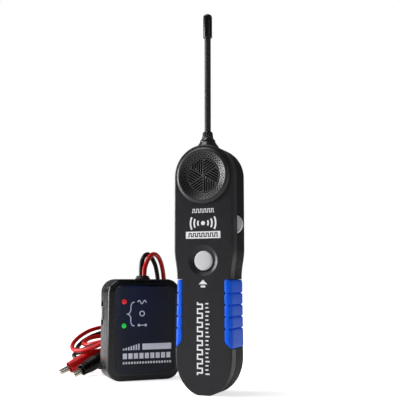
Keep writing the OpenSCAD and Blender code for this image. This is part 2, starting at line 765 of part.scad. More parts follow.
receiver_front_shell();
receiver_back_shell();
grip_left();
grip_right();
speaker_bezel();
speaker_grille();
speaker_frame();
speaker_cone();
speaker_magnet();
test_button();
button_switch();
sensitivity_wheel();
wheel_potentiometer();
receiver_board();
receiver_battery();
receiver_battery_snap();
receiver_battery_door();
receiver_screws();
antenna_collar();
antenna_nut();
stem_segment_1();
stem_segment_2();
stem_segment_3();
stem_segment_4();
stem_segment_5();
stem_segment_6();
antenna_tip();
pickup_coil();
transmitter_front_shell();
transmitter_back_shell();
transmitter_panel();
mode_switch_knob();
mode_switch_body();
red_led();
green_led();
transmitter_board();
transmitter_battery();
transmitter_battery_snap();
transmitter_battery_door();
transmitter_screws();
lead_gland();
red_lead();
black_lead();
red_clip_fixed_jaw();
red_clip_moving_jaw();
red_clip_pin();
red_clip_spring();
red_clip_boot();
black_clip_fixed_jaw();
black_clip_moving_jaw();
black_clip_pin();
black_clip_spring();
black_clip_boot();
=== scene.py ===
"""Looks of the circuit breaker finder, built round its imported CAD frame. Lengths here are in millimetres."""
import json
import math

import bmesh
import bpy
from mathutils import Matrix, Vector


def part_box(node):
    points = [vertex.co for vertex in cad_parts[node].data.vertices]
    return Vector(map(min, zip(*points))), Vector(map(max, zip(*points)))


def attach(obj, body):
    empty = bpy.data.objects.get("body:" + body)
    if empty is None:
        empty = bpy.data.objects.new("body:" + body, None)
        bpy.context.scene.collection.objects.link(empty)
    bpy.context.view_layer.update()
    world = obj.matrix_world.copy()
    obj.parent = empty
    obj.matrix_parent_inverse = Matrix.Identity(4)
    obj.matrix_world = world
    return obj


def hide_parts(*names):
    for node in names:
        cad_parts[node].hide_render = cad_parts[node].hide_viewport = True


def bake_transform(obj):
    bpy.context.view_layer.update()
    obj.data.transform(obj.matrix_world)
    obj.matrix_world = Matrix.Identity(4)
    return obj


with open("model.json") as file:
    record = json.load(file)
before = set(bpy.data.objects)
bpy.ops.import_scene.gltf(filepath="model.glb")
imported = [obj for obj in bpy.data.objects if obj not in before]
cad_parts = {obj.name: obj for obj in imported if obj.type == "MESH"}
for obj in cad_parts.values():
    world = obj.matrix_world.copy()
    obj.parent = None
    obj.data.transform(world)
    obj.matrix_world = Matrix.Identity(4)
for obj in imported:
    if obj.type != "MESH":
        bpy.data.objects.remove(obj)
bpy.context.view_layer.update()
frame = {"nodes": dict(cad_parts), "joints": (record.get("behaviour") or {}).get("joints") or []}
MM = 0.001

# ---------- camera ----------

LENS = 64.35
CAMERA_PLACE = (207.1, -507.4, 83.0)
CAMERA_PITCH = 6.5
CAMERA_TURN = 23.03


def make_camera():
    camera = bpy.data.objects.new("camera", bpy.data.cameras.new("camera"))
    camera.data.sensor_width = 36
    camera.data.lens = LENS
    camera.data.clip_start = 0.01
    camera.location = Vector(CAMERA_PLACE) * MM
    camera.rotation_euler = (math.radians(90 + CAMERA_PITCH), 0, math.radians(CAMERA_TURN))
    bpy.context.scene.collection.objects.link(camera)
    bpy.context.scene.camera = camera


make_camera()

# ---------- sizes, from the frame where a node gives them ----------


def corners(node):
    low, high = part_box(node)
    return low / MM, high / MM


def joint(name):
    return next(j for j in frame["joints"] if j["name"] == name)


front_low, front_high = corners("receiver_front_shell")
back_low, back_high = corners("receiver_back_shell")
FRONT, PARTING, BACK = front_low.y, back_low.y, back_high.y
HEAD_HALF = front_high.x
HEAD_Z = front_high.z - HEAD_HALF
FOOT_HALF, WAIST_HALF = 22.4, 21.6
FOOT_Z, FOOT_DIP = 27.0, 0.6
NECK_LOW, NECK_HIGH = 86.0, 108.0
FRONT_FILLET, BACK_FILLET = 1.3, 5.0
WALL = 4.8
GRIP_LOW, GRIP_HIGH = 34.0, 84.5
GRIP_STRIP, GRIP_SLANT = 17.0, 5.0
GRIP_PROUD, GRIP_DEEP, GRIP_FILLET = 0.3, 2.7, 3.0
GROOVES = [48.4 + 8.65 * i for i in range(4)]
BUTTON_Z, BUTTON_R, DISH_R = 98.5, 7.3, 11.7
ANTENNA_Y = PARTING
ANTENNA_AXIS = Matrix.Translation((0, ANTENNA_Y, 0))
STEM_JOINTS = [joint(f"stem_bend_{i}")["pos_m"][2] / MM for i in range(1, 7)]
STEM_PITCH = STEM_JOINTS[1] - STEM_JOINTS[0]
STEM_TOP, TIP_TOP = (corner.z for corner in corners("antenna_tip"))
NUT_TOP = STEM_JOINTS[0] - 1.6

TX_PLACE = Vector((-86, 50, 0))
TX_FRAME = Matrix.Translation(TX_PLACE) @ Matrix.Rotation(math.radians(45), 4, "Z")
TX_HALF, TX_HEIGHT, TX_CORNER = 32.0, 85.0, 11.5
TX_FRONT, TX_BACK, TX_PARTING = -14.5, 14.5, -1.0
PANEL_INSET = 6.5
LED_X, LED_ZS = -18.7, {"red": 66.0, "green": 46.0}
SWITCH_Y, SWITCH_Z, SWITCH_SLOT = 8.5, 56.0, 3.2
GLAND_X = 1.7

CLIP_PITCH = 21.0
CLIP_NOSE, CLIP_MOUTH, CLIP_TAIL = 15.0, 5.0, 33.0

LEAD_DIAMETER = 4.0
ROUTES = {
    "red": [
        (-82.8, 50.3, 88), (-82.7, 51.3, 95), (-82, 56, 102.5), (-81, 63, 107), (-80, 71.5, 105),
        (-79.5, 78.5, 96.5), (-80, 84, 82), (-82, 88.5, 66), (-89, 97, 53), (-102, 113, 47.5),
        (-121, 124.5, 46), (-141.5, 126.5, 43), (-160, 120, 39), (-171.5, 110, 35.5), (-176.5, 100, 31),
        (-177.5, 89.5, 26), (-174, 79.5, 22), (-166.5, 71.5, 19.5), (-156, 68.5, 19.9), (-145, 68, 22.5),
        (-131.5, 70, 28), (-118, 74, 30), (-105.5, 83.5, 28), (-99.5, 98, 26), (-102.5, 112, 27),
        (-114.5, 120, 30), (-131, 119.5, 31.5), (-147, 114, 31), (-160, 106, 29.9), (-166, 96, 28.1),
        (-165.5, 86, 24.5), (-157, 80.5, 24), (-144, 80, 27), (-130, 83, 29), (-118.5, 91, 31),
        (-113, 102, 30), (-119, 112.5, 27.5), (-131, 111, 25), (-138, 94.2, 22.6), (-142.8, 86.2, 19),
    ],
    "black": [
        (-86.7, 52.1, 88), (-87.1, 53, 95), (-87.5, 55.5, 101.5), (-87.2, 60, 106), (-86.6, 65.5, 107),
        (-86, 71.5, 103.5), (-84.8, 76.5, 96), (-84, 80, 82), (-85.5, 84.5, 65), (-92.5, 92, 52),
        (-106.5, 106, 44), (-123, 117, 41.5), (-141, 119.5, 38.5), (-157, 114, 34.5), (-166.5, 105, 30.5),
        (-170.5, 95.5, 26.5), (-171, 86.5, 22.5), (-168, 79, 19.9), (-161, 74.5, 19.2), (-150, 73.5, 22.6),
        (-136, 75.5, 26), (-121.5, 80, 26.5), (-111, 88.5, 23), (-106, 102, 20), (-109.5, 115.5, 18),
        (-124, 122.5, 15.5), (-158, 114, 14.5), (-170.5, 101, 15), (-175.5, 89, 14.5), (-171.5, 79.5, 12.5),
        (-163, 78.5, 9), (-151.5, 83, 4.5), (-136.5, 86.5, 2.3), (-103.5, 92, 2.3), (-95.5, 103, 2.8),
        (-98.5, 115, 4.5), (-109, 118, 10.5), (-119, 105.2, 19), (-124.4, 85.7, 22.6), (-127.8, 77, 19),
    ],
}


def clip_frame(colour):
    """The clip's own frame: pivot at the origin, the lead's end along +X, the jaws' opening axis along Y."""
    hinge = joint(f"{colour}_clip_open")
    across = Vector(hinge["axis"])
    level = Vector((across.y, -across.x, 0))
    turn = math.atan2(level.y, level.x)
    return (Matrix.Translation(Vector(hinge["pos_m"]) / MM) @ Matrix.Rotation(turn, 4, "Z")
            @ Matrix.Rotation(math.radians(-CLIP_PITCH), 4, "Y"))


CLIP_FRAMES = {colour: clip_frame(colour) for colour in ("red", "black")}

# ---------- materials ----------


def linear(colour):
    """An 8-bit display colour as the linear values that the shader takes."""
    values = [c / 255 for c in colour]
    return [c / 12.92 if c <= 0.04045 else ((c + 0.055) / 1.055) ** 2.4 for c in values] + [1.0]


def fill(node, values):
    for name, value in values.items():
        node.inputs[name].default_value = value
    return node


def add_node(tree, kind, values=None):
    return fill(tree.nodes.new(f"ShaderNode{kind}"), values or {})


def noise(tree, coordinates, size_mm, detail=3.0):
    node = add_node(tree, "TexNoise", {"Scale": 1 / (size_mm * MM), "Detail": detail})
    tree.links.new(coordinates, node.inputs["Vector"])
    return node.outputs["Fac"]


def spread(tree, value, low, high):
    """Maps a noise's middle range to low..high."""
    node = add_node(tree, "MapRange", {"From Min": 0.3, "From Max": 0.7, "To Min": low, "To Max": high})
    tree.links.new(value, node.inputs["Value"])
    return node.outputs["Result"]


MATERIALS = {}
ROUGH_SPREAD = 0.05
BUMP_MM = 0.05
COAT_ROUGHNESS = 0.15


def material(name, colour, roughness, metallic=0.0, grain=0.25, grain_mm=0.35, mottle=0.12, mottle_mm=7.0,
             coat=0.0, glow=0.0, second=None, shine=0.3):
    """Moulded or metal finish: fine grain, a slow mottle of two colours and an uneven gloss."""
    made = bpy.data.materials.new(name)
    made.use_nodes = True
    tree = made.node_tree
    shader = tree.nodes["Principled BSDF"]
    place = add_node(tree, "TexCoord").outputs["Object"]
    base = linear(colour)
    other = linear(second) if second else [c * (1 - mottle) for c in base[:3]] + [1.0]
    mix = add_node(tree, "Mix")
    mix.data_type = "RGBA"
    fill(mix, {"A": base, "B": other})
    tree.links.new(spread(tree, noise(tree, place, mottle_mm), 0, 1), mix.inputs["Factor"])
    tree.links.new(mix.outputs["Result"], shader.inputs["Base Color"])
    uneven = noise(tree, place, mottle_mm * 0.4)
    tree.links.new(spread(tree, uneven, roughness - ROUGH_SPREAD, roughness + ROUGH_SPREAD),
                   shader.inputs["Roughness"])
    if grain:
        bump = add_node(tree, "Bump", {"Strength": grain, "Distance": BUMP_MM * MM})
        tree.links.new(noise(tree, place, grain_mm, 2.0), bump.inputs["Height"])
        tree.links.new(bump.outputs["Normal"], shader.inputs["Normal"])
    fill(shader, {"Metallic": metallic, "Specular IOR Level": shine, "Coat Weight": coat,
                  "Coat Roughness": COAT_ROUGHNESS})
    if glow:
        fill(shader, {"Emission Color": base, "Emission Strength": glow})
    MATERIALS[name] = made


material("casing_black", (28, 27, 31), 0.36, grain=0.2, grain_mm=0.3, shine=0.4)
# Painted shade: the rear finish is the same black plastic as casing_black, with its colour made darker so that
# the back shell's sides, which face away from the lamps, look shaded.
material("casing_rear", (20, 19, 22), 0.46, grain=0.3, grain_mm=0.3, shine=0.1)
material("grip_blue", (0, 96, 242), 0.34, grain=0.2, mottle=0.08, shine=0.22)
material("bezel_black", (19, 19, 22), 0.42, grain=0, shine=0.6)
material("grille_black", (60, 60, 62), 0.4, grain=0, shine=0.5)
material("button_white", (208, 208, 210), 0.36, grain=0.5, grain_mm=0.5, mottle=0.05)
material("wheel_grey", (218, 220, 224), 0.4, grain=0.5, grain_mm=0.5, mottle=0.14, mottle_mm=2)
material("stem_rubber", (9, 9, 11), 0.26, grain=0.1, shine=0.4)
material("collar_plastic", (24, 25, 32), 0.24, grain=0.1, shine=0.5)
material("print_white", (242, 242, 245), 0.55, grain=0.3, grain_mm=0.2, mottle=0.1, mottle_mm=1.5)
material("print_dark", (46, 46, 50), 0.5, grain=0.3, grain_mm=0.2)
material("transmitter_black", (10, 11, 14), 0.24, grain=0, shine=0.4)
material("panel_blue_black", (30, 33, 43), 0.4, grain=0.12, second=(33, 36, 44), mottle_mm=40)
material("speaker_steel", (190, 190, 192), 0.35, metallic=1.0, grain=0.1)
material("speaker_paper", (16, 16, 16), 0.9, grain=0.8, grain_mm=0.8, mottle=0.25)
material("magnet_ferrite", (70, 70, 74), 0.7, grain=0.6, grain_mm=0.6)
material("part_black", (28, 28, 30), 0.45, grain=0.3)
material("board_green", (18, 92, 46), 0.3, grain=0.2, mottle=0.3, mottle_mm=3, coat=0.3)
material("cell_metal", (196, 150, 72), 0.3, metallic=0.6, mottle=0.2, mottle_mm=12)
material("screw_steel", (200, 200, 204), 0.28, metallic=1.0, grain=0.1, mottle=0.2, mottle_mm=1)
material("coil_copper", (190, 105, 60), 0.3, metallic=0.9, grain=0.6, grain_mm=0.25)
material("led_red", (235, 40, 38), 0.16, grain=0, glow=0.35, coat=0.6, second=(190, 12, 14), mottle_mm=2)
material("led_green", (40, 215, 80), 0.16, grain=0, glow=0.35, coat=0.6, second=(8, 150, 40), mottle_mm=2)
material("knob_white", (232, 232, 230), 0.4, grain=0.3, mottle=0.05)
material("lead_red", (200, 9, 9), 0.32, grain=0.3, grain_mm=0.5, mottle=0.12)
material("lead_black", (6, 6, 8), 0.3, grain=0.3, grain_mm=0.5)
material("boot_red", (205, 9, 9), 0.3, grain=0.4, grain_mm=0.6, mottle=0.15)
material("boot_black", (5, 5, 7), 0.28, grain=0.4, grain_mm=0.6)
material("clip_nickel", (214, 206, 192), 0.24, metallic=1.0, grain=0.15, mottle=0.2, mottle_mm=2)

# ---------- mesh helpers ----------


def link(obj):
    bpy.context.scene.collection.objects.link(obj)
    return obj


SHARP_ANGLE = 32


def shade(mesh, angle=SHARP_ANGLE):
    mesh.shade_smooth()
    mesh.set_sharp_from_angle(angle=math.radians(angle))


def merge(shape, distance):
    bmesh.ops.remove_doubles(shape, verts=shape.verts, dist=distance * MM)
    bmesh.ops.dissolve_degenerate(shape, edges=shape.edges, dist=distance * MM)


def build(name, parts, slot="part_black", place=Matrix(), angle=SHARP_ANGLE):
    """A mesh object from (vertices, faces) pairs in millimetres, put in place and scaled to metres."""
    shape = bmesh.new()
    for verts, faces in parts:
        made = [shape.verts.new((place @ Vector(v)) * MM) for v in verts]
        for face in faces:
            shape.faces.new([made[i] for i in face])
    merge(shape, 1e-4)
    bmesh.ops.recalc_face_normals(shape, faces=shape.faces)
    mesh = bpy.data.meshes.new(name)
    shape.to_mesh(mesh)
    shape.free()
    mesh.materials.append(MATERIALS[slot])
    shade(mesh, angle)
    return link(bpy.data.objects.new(name, mesh))


def skin(rings, closed=False):
    """(vertices, faces) through rings of equally many points. An open skin has its two ends filled."""
    count = len(rings[0])
    verts = [p for ring in rings for p in ring]
    faces = []
    spans = len(rings) if closed else len(rings) - 1
    for i in range(spans):
        low, high = i * count, (i + 1) % len(rings) * count
        for k in range(count):
            n = (k + 1) % count
            faces.append((low + k, low + n, high + n, high + k))
    if not closed:
        faces.append(tuple(reversed(range(count))))
        faces.append(tuple(range(len(verts) - count, len(verts))))
    return verts, faces


def turned(profile, steps=72, wave=None):
    """A closed (radius, height) profile turned about Z. wave(radius, height, angle) changes the radius."""
    rings = []
    for i in range(steps):
        angle = 2 * math.pi * i / steps
        ring = []
        for radius, height in profile:
            r = wave(radius, height, angle) if wave else radius
            ring.append((r * math.cos(angle), r * math.sin(angle), height))
        rings.append(ring)
    return skin(rings, closed=True)


def rod(radius, low, high, steps=32):
    return turned([(0, low), (radius, low), (radius, high), (0, high)], steps)


def raised(profile, level):
    """A (radius, height) profile with its heights measured from a level."""
    return [(radius, level + height) for radius, height in profile]


def prism(outline, low, high):
    """A flat (x, z) outline with its thickness along Y, from low to high."""
    return skin([[(x, low, z) for x, z in outline], [(x, high, z) for x, z in outline]])


def box_part(low, high):
    outline = [(low[0], low[2]), (high[0], low[2]), (high[0], high[2]), (low[0], high[2])]
    return prism(outline, low[1], high[1])


def facing_front(x, z):
    """Puts a turned shape's axis along -Y, through (x, z)."""
    return Matrix.Translation((x, 0, z)) @ Matrix.Rotation(math.radians(90), 4, "X")


def moved(part, put):
    verts, faces = part
    return [put @ Vector(v) for v in verts], faces


def bake(obj):
    """Applies the object's modifiers."""
    graph = bpy.context.evaluated_depsgraph_get()
    mesh = bpy.data.meshes.new_from_object(obj.evaluated_get(graph))
    obj.modifiers.clear()
    obj.data = mesh


def flatten(obj):
    """Keeps flat faces flat in their shading."""
    obj.modifiers.new("flat", "WEIGHTED_NORMAL").keep_sharp = True


def cut(obj, cutters):
    """Takes each cutter out of the object and removes the cutter."""
    for cutter in cutters:
        change = obj.modifiers.new("cut", "BOOLEAN")
        change.object = cutter
        change.solver = "EXACT"
    bake(obj)
    for cutter in cutters:
        bpy.data.objects.remove(cutter)
    shape = bmesh.new()
    shape.from_mesh(obj.data)
    merge(shape, 1e-3)
    shape.to_mesh(obj.data)
    shape.free()
    shade(obj.data)


def soften(obj, width, segments=2):
    """Rounds the sharp edges a little."""
    change = obj.modifiers.new("soften", "BEVEL")
    change.width = width * MM
    change.segments = segments
    change.limit_method = "ANGLE"
    change.angle_limit = math.radians(SHARP_ANGLE)
    change.harden_normals = False
    bake(obj)
    shade(obj.data, 50)
    flatten(obj)


def piece(obj, body, slot, *nodes):
    """Attaches a finished piece to its body and hides the CAD nodes that it stands for. The slot argument is
    not used.
    """
    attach(obj, body)
    if nodes:
        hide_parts(*nodes)
    return obj


def arc(cx, cz, rx, rz, start, end, steps):
    turn = [math.radians(start + (end - start) * i / steps) for i in range(steps + 1)]
    return [(cx + rx * math.cos(a), cz + rz * math.sin(a)) for a in turn]


# ---------- leads ----------

ROUTE_STEPS = 8


def smooth_route(route):
    """Points along the smooth curve through a route, the same curve as the CAD tube follows."""
    points = [Vector(p) for p in route]
    points = [2 * points[0] - points[1]] + points + [2 * points[-1] - points[-2]]
    curve = []
    for a, b, c, d in zip(points, points[1:], points[2:], points[3:]):
        for i in range(ROUTE_STEPS):
            t = i / ROUTE_STEPS
            curve.append(0.5 * (2 * b + (c - a) * t + (2 * a - 5 * b + 4 * c - d) * t * t
                                + (3 * b - a - 3 * c + d) * t ** 3))
    return curve + [points[-2]]


def make_lead(colour):
    data = bpy.data.curves.new(f"{colour}_lead_wire", "CURVE")
    data.dimensions = "3D"
    data.bevel_depth = LEAD_DIAMETER / 2 * MM
    data.bevel_resolution = 5
    data.use_fill_caps = True
    points = smooth_route(ROUTES[colour])
    spline = data.splines.new("POLY")
    spline.points.add(len(points) - 1)
    for target, point in zip(spline.points, points):
        target.co = (*(point * MM), 1)
    spline.use_smooth = True
    data.materials.append(MATERIALS[f"lead_{colour}"])
    lead = link(bpy.data.objects.new(f"{colour}_lead_wire", data))
    return piece(lead, "transmitter", f"lead_{colour}", f"{colour}_lead")


leads = {colour: make_lead(colour) for colour in ROUTES}

# ---------- receiver casing ----------

NECK_STEPS = 14
RECESS_GAP = 0.22
RECESS_DEEP = 3
CAVITY_FRONT, CAVITY_BACK = 2.4, 4
SEAM_HALF, SEAM_DEEP, SEAM_GAP = 0.3, 0.28, 0.02
SPEAKER_SEAT_R, SPEAKER_HOLE_R = 22.05, 19.95
DOOR_HALF, DOOR_LOW, DOOR_HIGH = 14.0, 32.0, 82.0
DOOR_GAP, POCKET_DEEP, POCKET_RUN = 0.2, 1.9, 10
CELL_WAY_HALF, CELL_WAY_DEEP, CELL_WAY_IN = 13.6, 6, 1.5
WHEEL_X, WHEEL_Z, WHEEL_R = 19.9, 125.8, 7.6
WHEEL_LOW, WHEEL_HIGH, WHEEL_SHAFT = -4.6, -1.5, 0.75
SCREW_PLACES = [(-17, 96), (17, 96), (-17, 147), (17, 147), (0, 17)]
SCREW_SINK_R, SCREW_SINK_DEEP = 2.5, 2.6


def receiver_side(inset):
    """Right side of the receiver's outline as (x, z), from the foot to the top of the head."""
    depth = FOOT_Z + FOOT_DIP - inset
    dip = math.degrees(math.asin((FOOT_Z - inset) / depth))
    foot = arc(0, FOOT_Z, FOOT_HALF - inset, depth, -dip, 0, 24)
    sides = [(FOOT_HALF - inset, GRIP_LOW), (WAIST_HALF - inset, GRIP_HIGH)]
    neck = []
    for i in range(NECK_STEPS + 1):
        swell = (1 - math.cos(math.pi * i / NECK_STEPS)) / 2
        neck.append((WAIST_HALF + (HEAD_HALF - WAIST_HALF) * swell - inset,
                     NECK_LOW + (NECK_HIGH - NECK_LOW) * i / NECK_STEPS))
    head = arc(0, HEAD_Z, HEAD_HALF - inset, HEAD_HALF - inset, 0, 90, 36)
    return foot + sides + neck + head[:-1] + [(0, HEAD_Z + HEAD_HALF - inset)]


def receiver_ring(y, inset):
    side = receiver_side(inset)
    return [(x, y, z) for x, z in side + [(-x, z) for x, z in reversed(side[:-1])]]


def rounding(start, radius, steps, away=1):
    """(y, inset) pairs of a quarter round that starts on the side of the casing and ends on its face."""
    turn = [math.pi / 2 * i / steps for i in range(steps + 1)]
    return [(start + away * radius * math.sin(a), radius * (1 - math.cos(a))) for a in turn]


def receiver_solid(name, stations, slot="part_black"):
    return build(name, [skin([receiver_ring(y, inset) for y, inset in stations])], slot)


def grip_window(margin):
    strip = GRIP_STRIP - margin
    low, high = GRIP_LOW - margin, GRIP_HIGH + margin
    return [(strip, low + GRIP_SLANT), (GRIP_STRIP + GRIP_SLANT, low), (30, low), (30, high), (strip, high)]


def grip_recess():
    right = grip_window(RECESS_GAP)
    left = [(-x, z) for x, z in right]
    recess = build("recess", [prism(window, FRONT - 1, BACK + 1) for window in (right, left)])
    stations = [(FRONT + RECESS_DEEP, RECESS_DEEP), (BACK - RECESS_DEEP, RECESS_DEEP)]
    cut(recess, [receiver_solid("core", stations)])
    return recess


def cavity():
    return receiver_solid("cavity", [(FRONT + CAVITY_FRONT, WALL), (BACK - CAVITY_BACK, WALL)])


def collar_profile(margin):
    return [(0, 180.5), (5 + margin, 180.5), (5 + margin, 184.4 - margin), (8.9 + margin, 184.4 - margin),
            (8.6 + margin, 185.6), (7.6 + margin, 187), (6.4 + margin, 189), (6.4 + margin, 193), (0, 193)]


def collar_cutter():
    return build("collar_cutter", [turned(collar_profile(0.12), 48)], place=ANTENNA_AXIS)


def bore(radius, low, high, places, place=Matrix()):
    """Round holes along Y through each (x, z) place."""
    hole = rod(radius, -high, -low)
    return build("bore", [moved(hole, facing_front(x, z)) for x, z in places], place=place)


def battery_way(x, low, high, face, place=Matrix()):
    """The sliding door's pocket and the opening for the battery behind it."""
    pocket = box_part((x - DOOR_HALF - DOOR_GAP, face - POCKET_DEEP, low - POCKET_RUN),
                      (x + DOOR_HALF + DOOR_GAP, face + 1, high + 0.3))
    way = box_part((x - CELL_WAY_HALF, face - CELL_WAY_DEEP, low + CELL_WAY_IN),
                   (x + CELL_WAY_HALF, face, high - CELL_WAY_IN))
    return [build("pocket", [pocket], place=place), build("cell_way", [way], place=place)]


def make_front_shell():
    stations = rounding(FRONT + FRONT_FILLET, FRONT_FILLET, 6, -1)[::-1]
    stations += [(PARTING - SEAM_HALF, 0), (PARTING - SEAM_GAP, SEAM_DEEP)]
    shell = receiver_solid("receiver_front_case", stations, "casing_black")
    speaker = [(0, -4), (SPEAKER_HOLE_R, -4), (SPEAKER_HOLE_R, -1.3), (SPEAKER_SEAT_R, -1.3),
               (SPEAKER_SEAT_R, 1), (0, 1)]
    dish = [(0, -4), (BUTTON_R + 0.2, -4), (BUTTON_R + 0.2, -1.6), (BUTTON_R + 1, -1.55),
            (BUTTON_R + 1.6, -1.3), (DISH_R - 0.5, -0.2), (DISH_R - 0.1, -0.04), (DISH_R + 0.3, 0.1),
            (DISH_R + 0.3, 1), (0, 1)]
    cut(shell, [
        cavity(), grip_recess(), collar_cutter(),
        build("speaker_bore", [turned(raised(speaker, -FRONT), 96)], place=facing_front(0, HEAD_Z)),
        build("dish", [turned(raised(dish, -FRONT), 96)], place=facing_front(0, BUTTON_Z)),
    ])
    flatten(shell)
    piece(shell, "receiver", "casing_black", "receiver_front_shell")


def make_back_shell():
    stations = [(PARTING + SEAM_GAP, SEAM_DEEP), (PARTING + SEAM_HALF, 0)]
    stations += rounding(BACK - BACK_FILLET, BACK_FILLET, 9)
    # The back shell's finish is darker than the front's as painted shade on its sides.
    shell = receiver_solid("receiver_back_case", stations, "casing_rear")
    cut(shell, [
        cavity(), grip_recess(), collar_cutter(),
        build("slot", [box_part((WHEEL_X - WHEEL_R - 0.4, PARTING - 1, WHEEL_Z - WHEEL_R - 0.15),
                                (40, WHEEL_HIGH + 0.3, WHEEL_Z + WHEEL_R + 0.15))]),
        *battery_way(0, DOOR_LOW, DOOR_HIGH, BACK),
        bore(SCREW_SINK_R, BACK - SCREW_SINK_DEEP, BACK + 1, SCREW_PLACES),
    ])
    flatten(shell)
    piece(shell, "receiver", "casing_rear", "receiver_back_shell")


make_front_shell()
make_back_shell()

# ---------- grips ----------

GROOVE_HALF, GROOVE_SIDE, GROOVE_FRONT = 0.85, 1.15, 0.45
END_TALL, END_SIDE, END_FRONT = 1.9, 1.4, 0.55
SLANT_TALL = 8


def grip_section(half):
    """Outer and inner points of the grip's C-shaped section, the outer ones with their outward normals."""
    side = half + GRIP_PROUD
    face = FRONT - GRIP_PROUD
    outer = [(GRIP_STRIP, face + 1.0, -1, 0), (GRIP_STRIP + 0.06, face + 0.4, -0.8, -0.6),
             (GRIP_STRIP + 0.4, face + 0.06, -0.4, -0.9), (GRIP_STRIP + 1.0, face, 0, -1),
             (side - GRIP_FILLET - 0.4, face, 0, -1)]
    for i in range(9):
        a = math.radians(90 * i / 8)
        outer.append((side - GRIP_FILLET * (1 - math.sin(a)), face + GRIP_FILLET * (1 - math.cos(a)),
                      math.sin(a), -math.cos(a)))
    outer += [(side, FRONT + 7, 1, 0), (side, 0, 1, 0), (side, BACK - BACK_FILLET - 1, 1, 0)]
    for i in range(10):
        a = math.radians(90 * i / 9)
        outer.append((side - BACK_FILLET * (1 - math.cos(a)), BACK - BACK_FILLET * (1 - math.sin(a)),
                      math.cos(a), math.sin(a)))
    inner_side = side - GRIP_DEEP - GRIP_PROUD
    low, high = FRONT + GRIP_DEEP, BACK - GRIP_DEEP
    inner = [(min(x, inner_side), min(max(y, low), high)) for x, y, _, _ in outer]
    outer[-1] = (GRIP_STRIP, BACK - 0.4, 0, 1)
    inner[-1] = (GRIP_STRIP, high)
    return outer, inner


def grip_heights():
    """Heights of the grip's rings, close together at its ends and its grooves."""
    ends = (0, 0.15, 0.45, 0.9, 1.4, END_TALL)
    heights = [GRIP_LOW + t for t in ends] + [GRIP_LOW + 4, GRIP_LOW + SLANT_TALL]
    for middle in GROOVES:
        heights += [middle + t * GROOVE_HALF for t in (-1.25, -0.95, -0.6, -0.25, 0, 0.25, 0.6, 0.95, 1.25)]
    return heights + [GRIP_HIGH - t for t in reversed(ends)]


def grip_dent(z, sideways):
    """How far the grip's surface falls in at height z, from grooves and its two rounded ends."""
    dent = 0.0
    groove = GROOVE_FRONT + (GROOVE_SIDE - GROOVE_FRONT) * sideways
    for middle in GROOVES:
        away = abs(z - middle) / GROOVE_HALF
        if away < 1:
            dent = (0.5 + 0.5 * math.cos(math.pi * away)) ** 0.8 * groove
    to_end = min(z - GRIP_LOW, GRIP_HIGH - z)
    if to_end < END_TALL:
        lost = 1 - math.sqrt(max(0, 1 - (1 - to_end / END_TALL) ** 2))
        dent = max(dent, lost * (END_FRONT + (END_SIDE - END_FRONT) * sideways))
    return dent


def lift(x, z):
    """How far the slanted lower end of the grip rises."""
    low_share = max(0.0, 1 - (z - GRIP_LOW) / SLANT_TALL)
    return low_share * max(0.0, GRIP_STRIP + GRIP_SLANT - x)


def make_grip(name, mirror):
    rings = []
    for z in grip_heights():
        share = (z - GRIP_LOW) / (GRIP_HIGH - GRIP_LOW)
        half = FOOT_HALF + (WAIST_HALF - FOOT_HALF) * share
        outer, inner = grip_section(half)
        ring = []
        for x, y, nx, ny in outer:
            dent = grip_dent(z, abs(nx) if ny < 0 else 1.0)
            ring.append((mirror * (x - nx * dent), y - ny * dent, z + lift(x, z)))
        for x, y in reversed(inner):
            ring.append((mirror * x, y, z + lift(x, z)))
        rings.append(ring)
    count = len(rings[0])
    verts, faces = skin(rings)
    faces = faces[:-2]
    for base in (0, len(verts) - count):
        for i in range(count // 2 - 1):
            faces.append((base + i, base + i + 1, base + count - 2 - i, base + count - 1 - i))
    grip = build(f"{name}_rubber", [(verts, faces)], "grip_blue", angle=50)
    piece(grip, "receiver", "grip_blue", name)


make_grip("grip_right", 1)
make_grip("grip_left", -1)

# ---------- speaker, button, wheel ----------

GRILLE_R = 13.15
SLOT_PITCH, SLOT_WIDE, BAR_WIDE = 1.8, 1.15, 0.65
SECTORS, SLOTS_EACH, SLOT_SHORTEST = 6, 7, 1
HOLE_ROWS, HOLES_ROUND, HOLE_R = 3, 40, 0.5
FIRST_ROW_R, ROW_PITCH, ROW_SLOPE = 14.9, 1.28, 0.45


def make_bezel():
    face = -FRONT
    ring = [(13.55, -2.4), (19.7, -2.4), (19.7, -1.2), (21.9, -1.2), (21.9, 0.1), (21.75, 0.5),
            (21.35, 1.05), (20.75, 1.6), (20.1, 2.0), (19.4, 2.2), (18.9, 2.22), (18.5, 2.1), (18.2, 1.9),
            (16.0, 0.85), (14.2, 0.1), (13.8, -0.1), (13.55, -0.4)]
    bezel = build("speaker_ring", [turned(raised(ring, face), 144)], "bezel_black", facing_front(0, HEAD_Z))
    holes = []
    for row in range(HOLE_ROWS):
        radius = FIRST_ROW_R + ROW_PITCH * row
        for i in range(HOLES_ROUND):
            angle = 2 * math.pi * (i + 0.5 * (row % 2)) / HOLES_ROUND
            depth = face + 0.1 + (radius - 14.2) * ROW_SLOPE - 0.35
            put = Matrix.Translation((radius * math.cos(angle), radius * math.sin(angle), depth))
            holes.append(moved(rod(HOLE_R, -1.3, 3, 8), put))
    cut(bezel, [build("holes", holes, place=facing_front(0, HEAD_Z))])
    flatten(bezel)
    piece(bezel, "receiver", "bezel_black", "speaker_bezel")


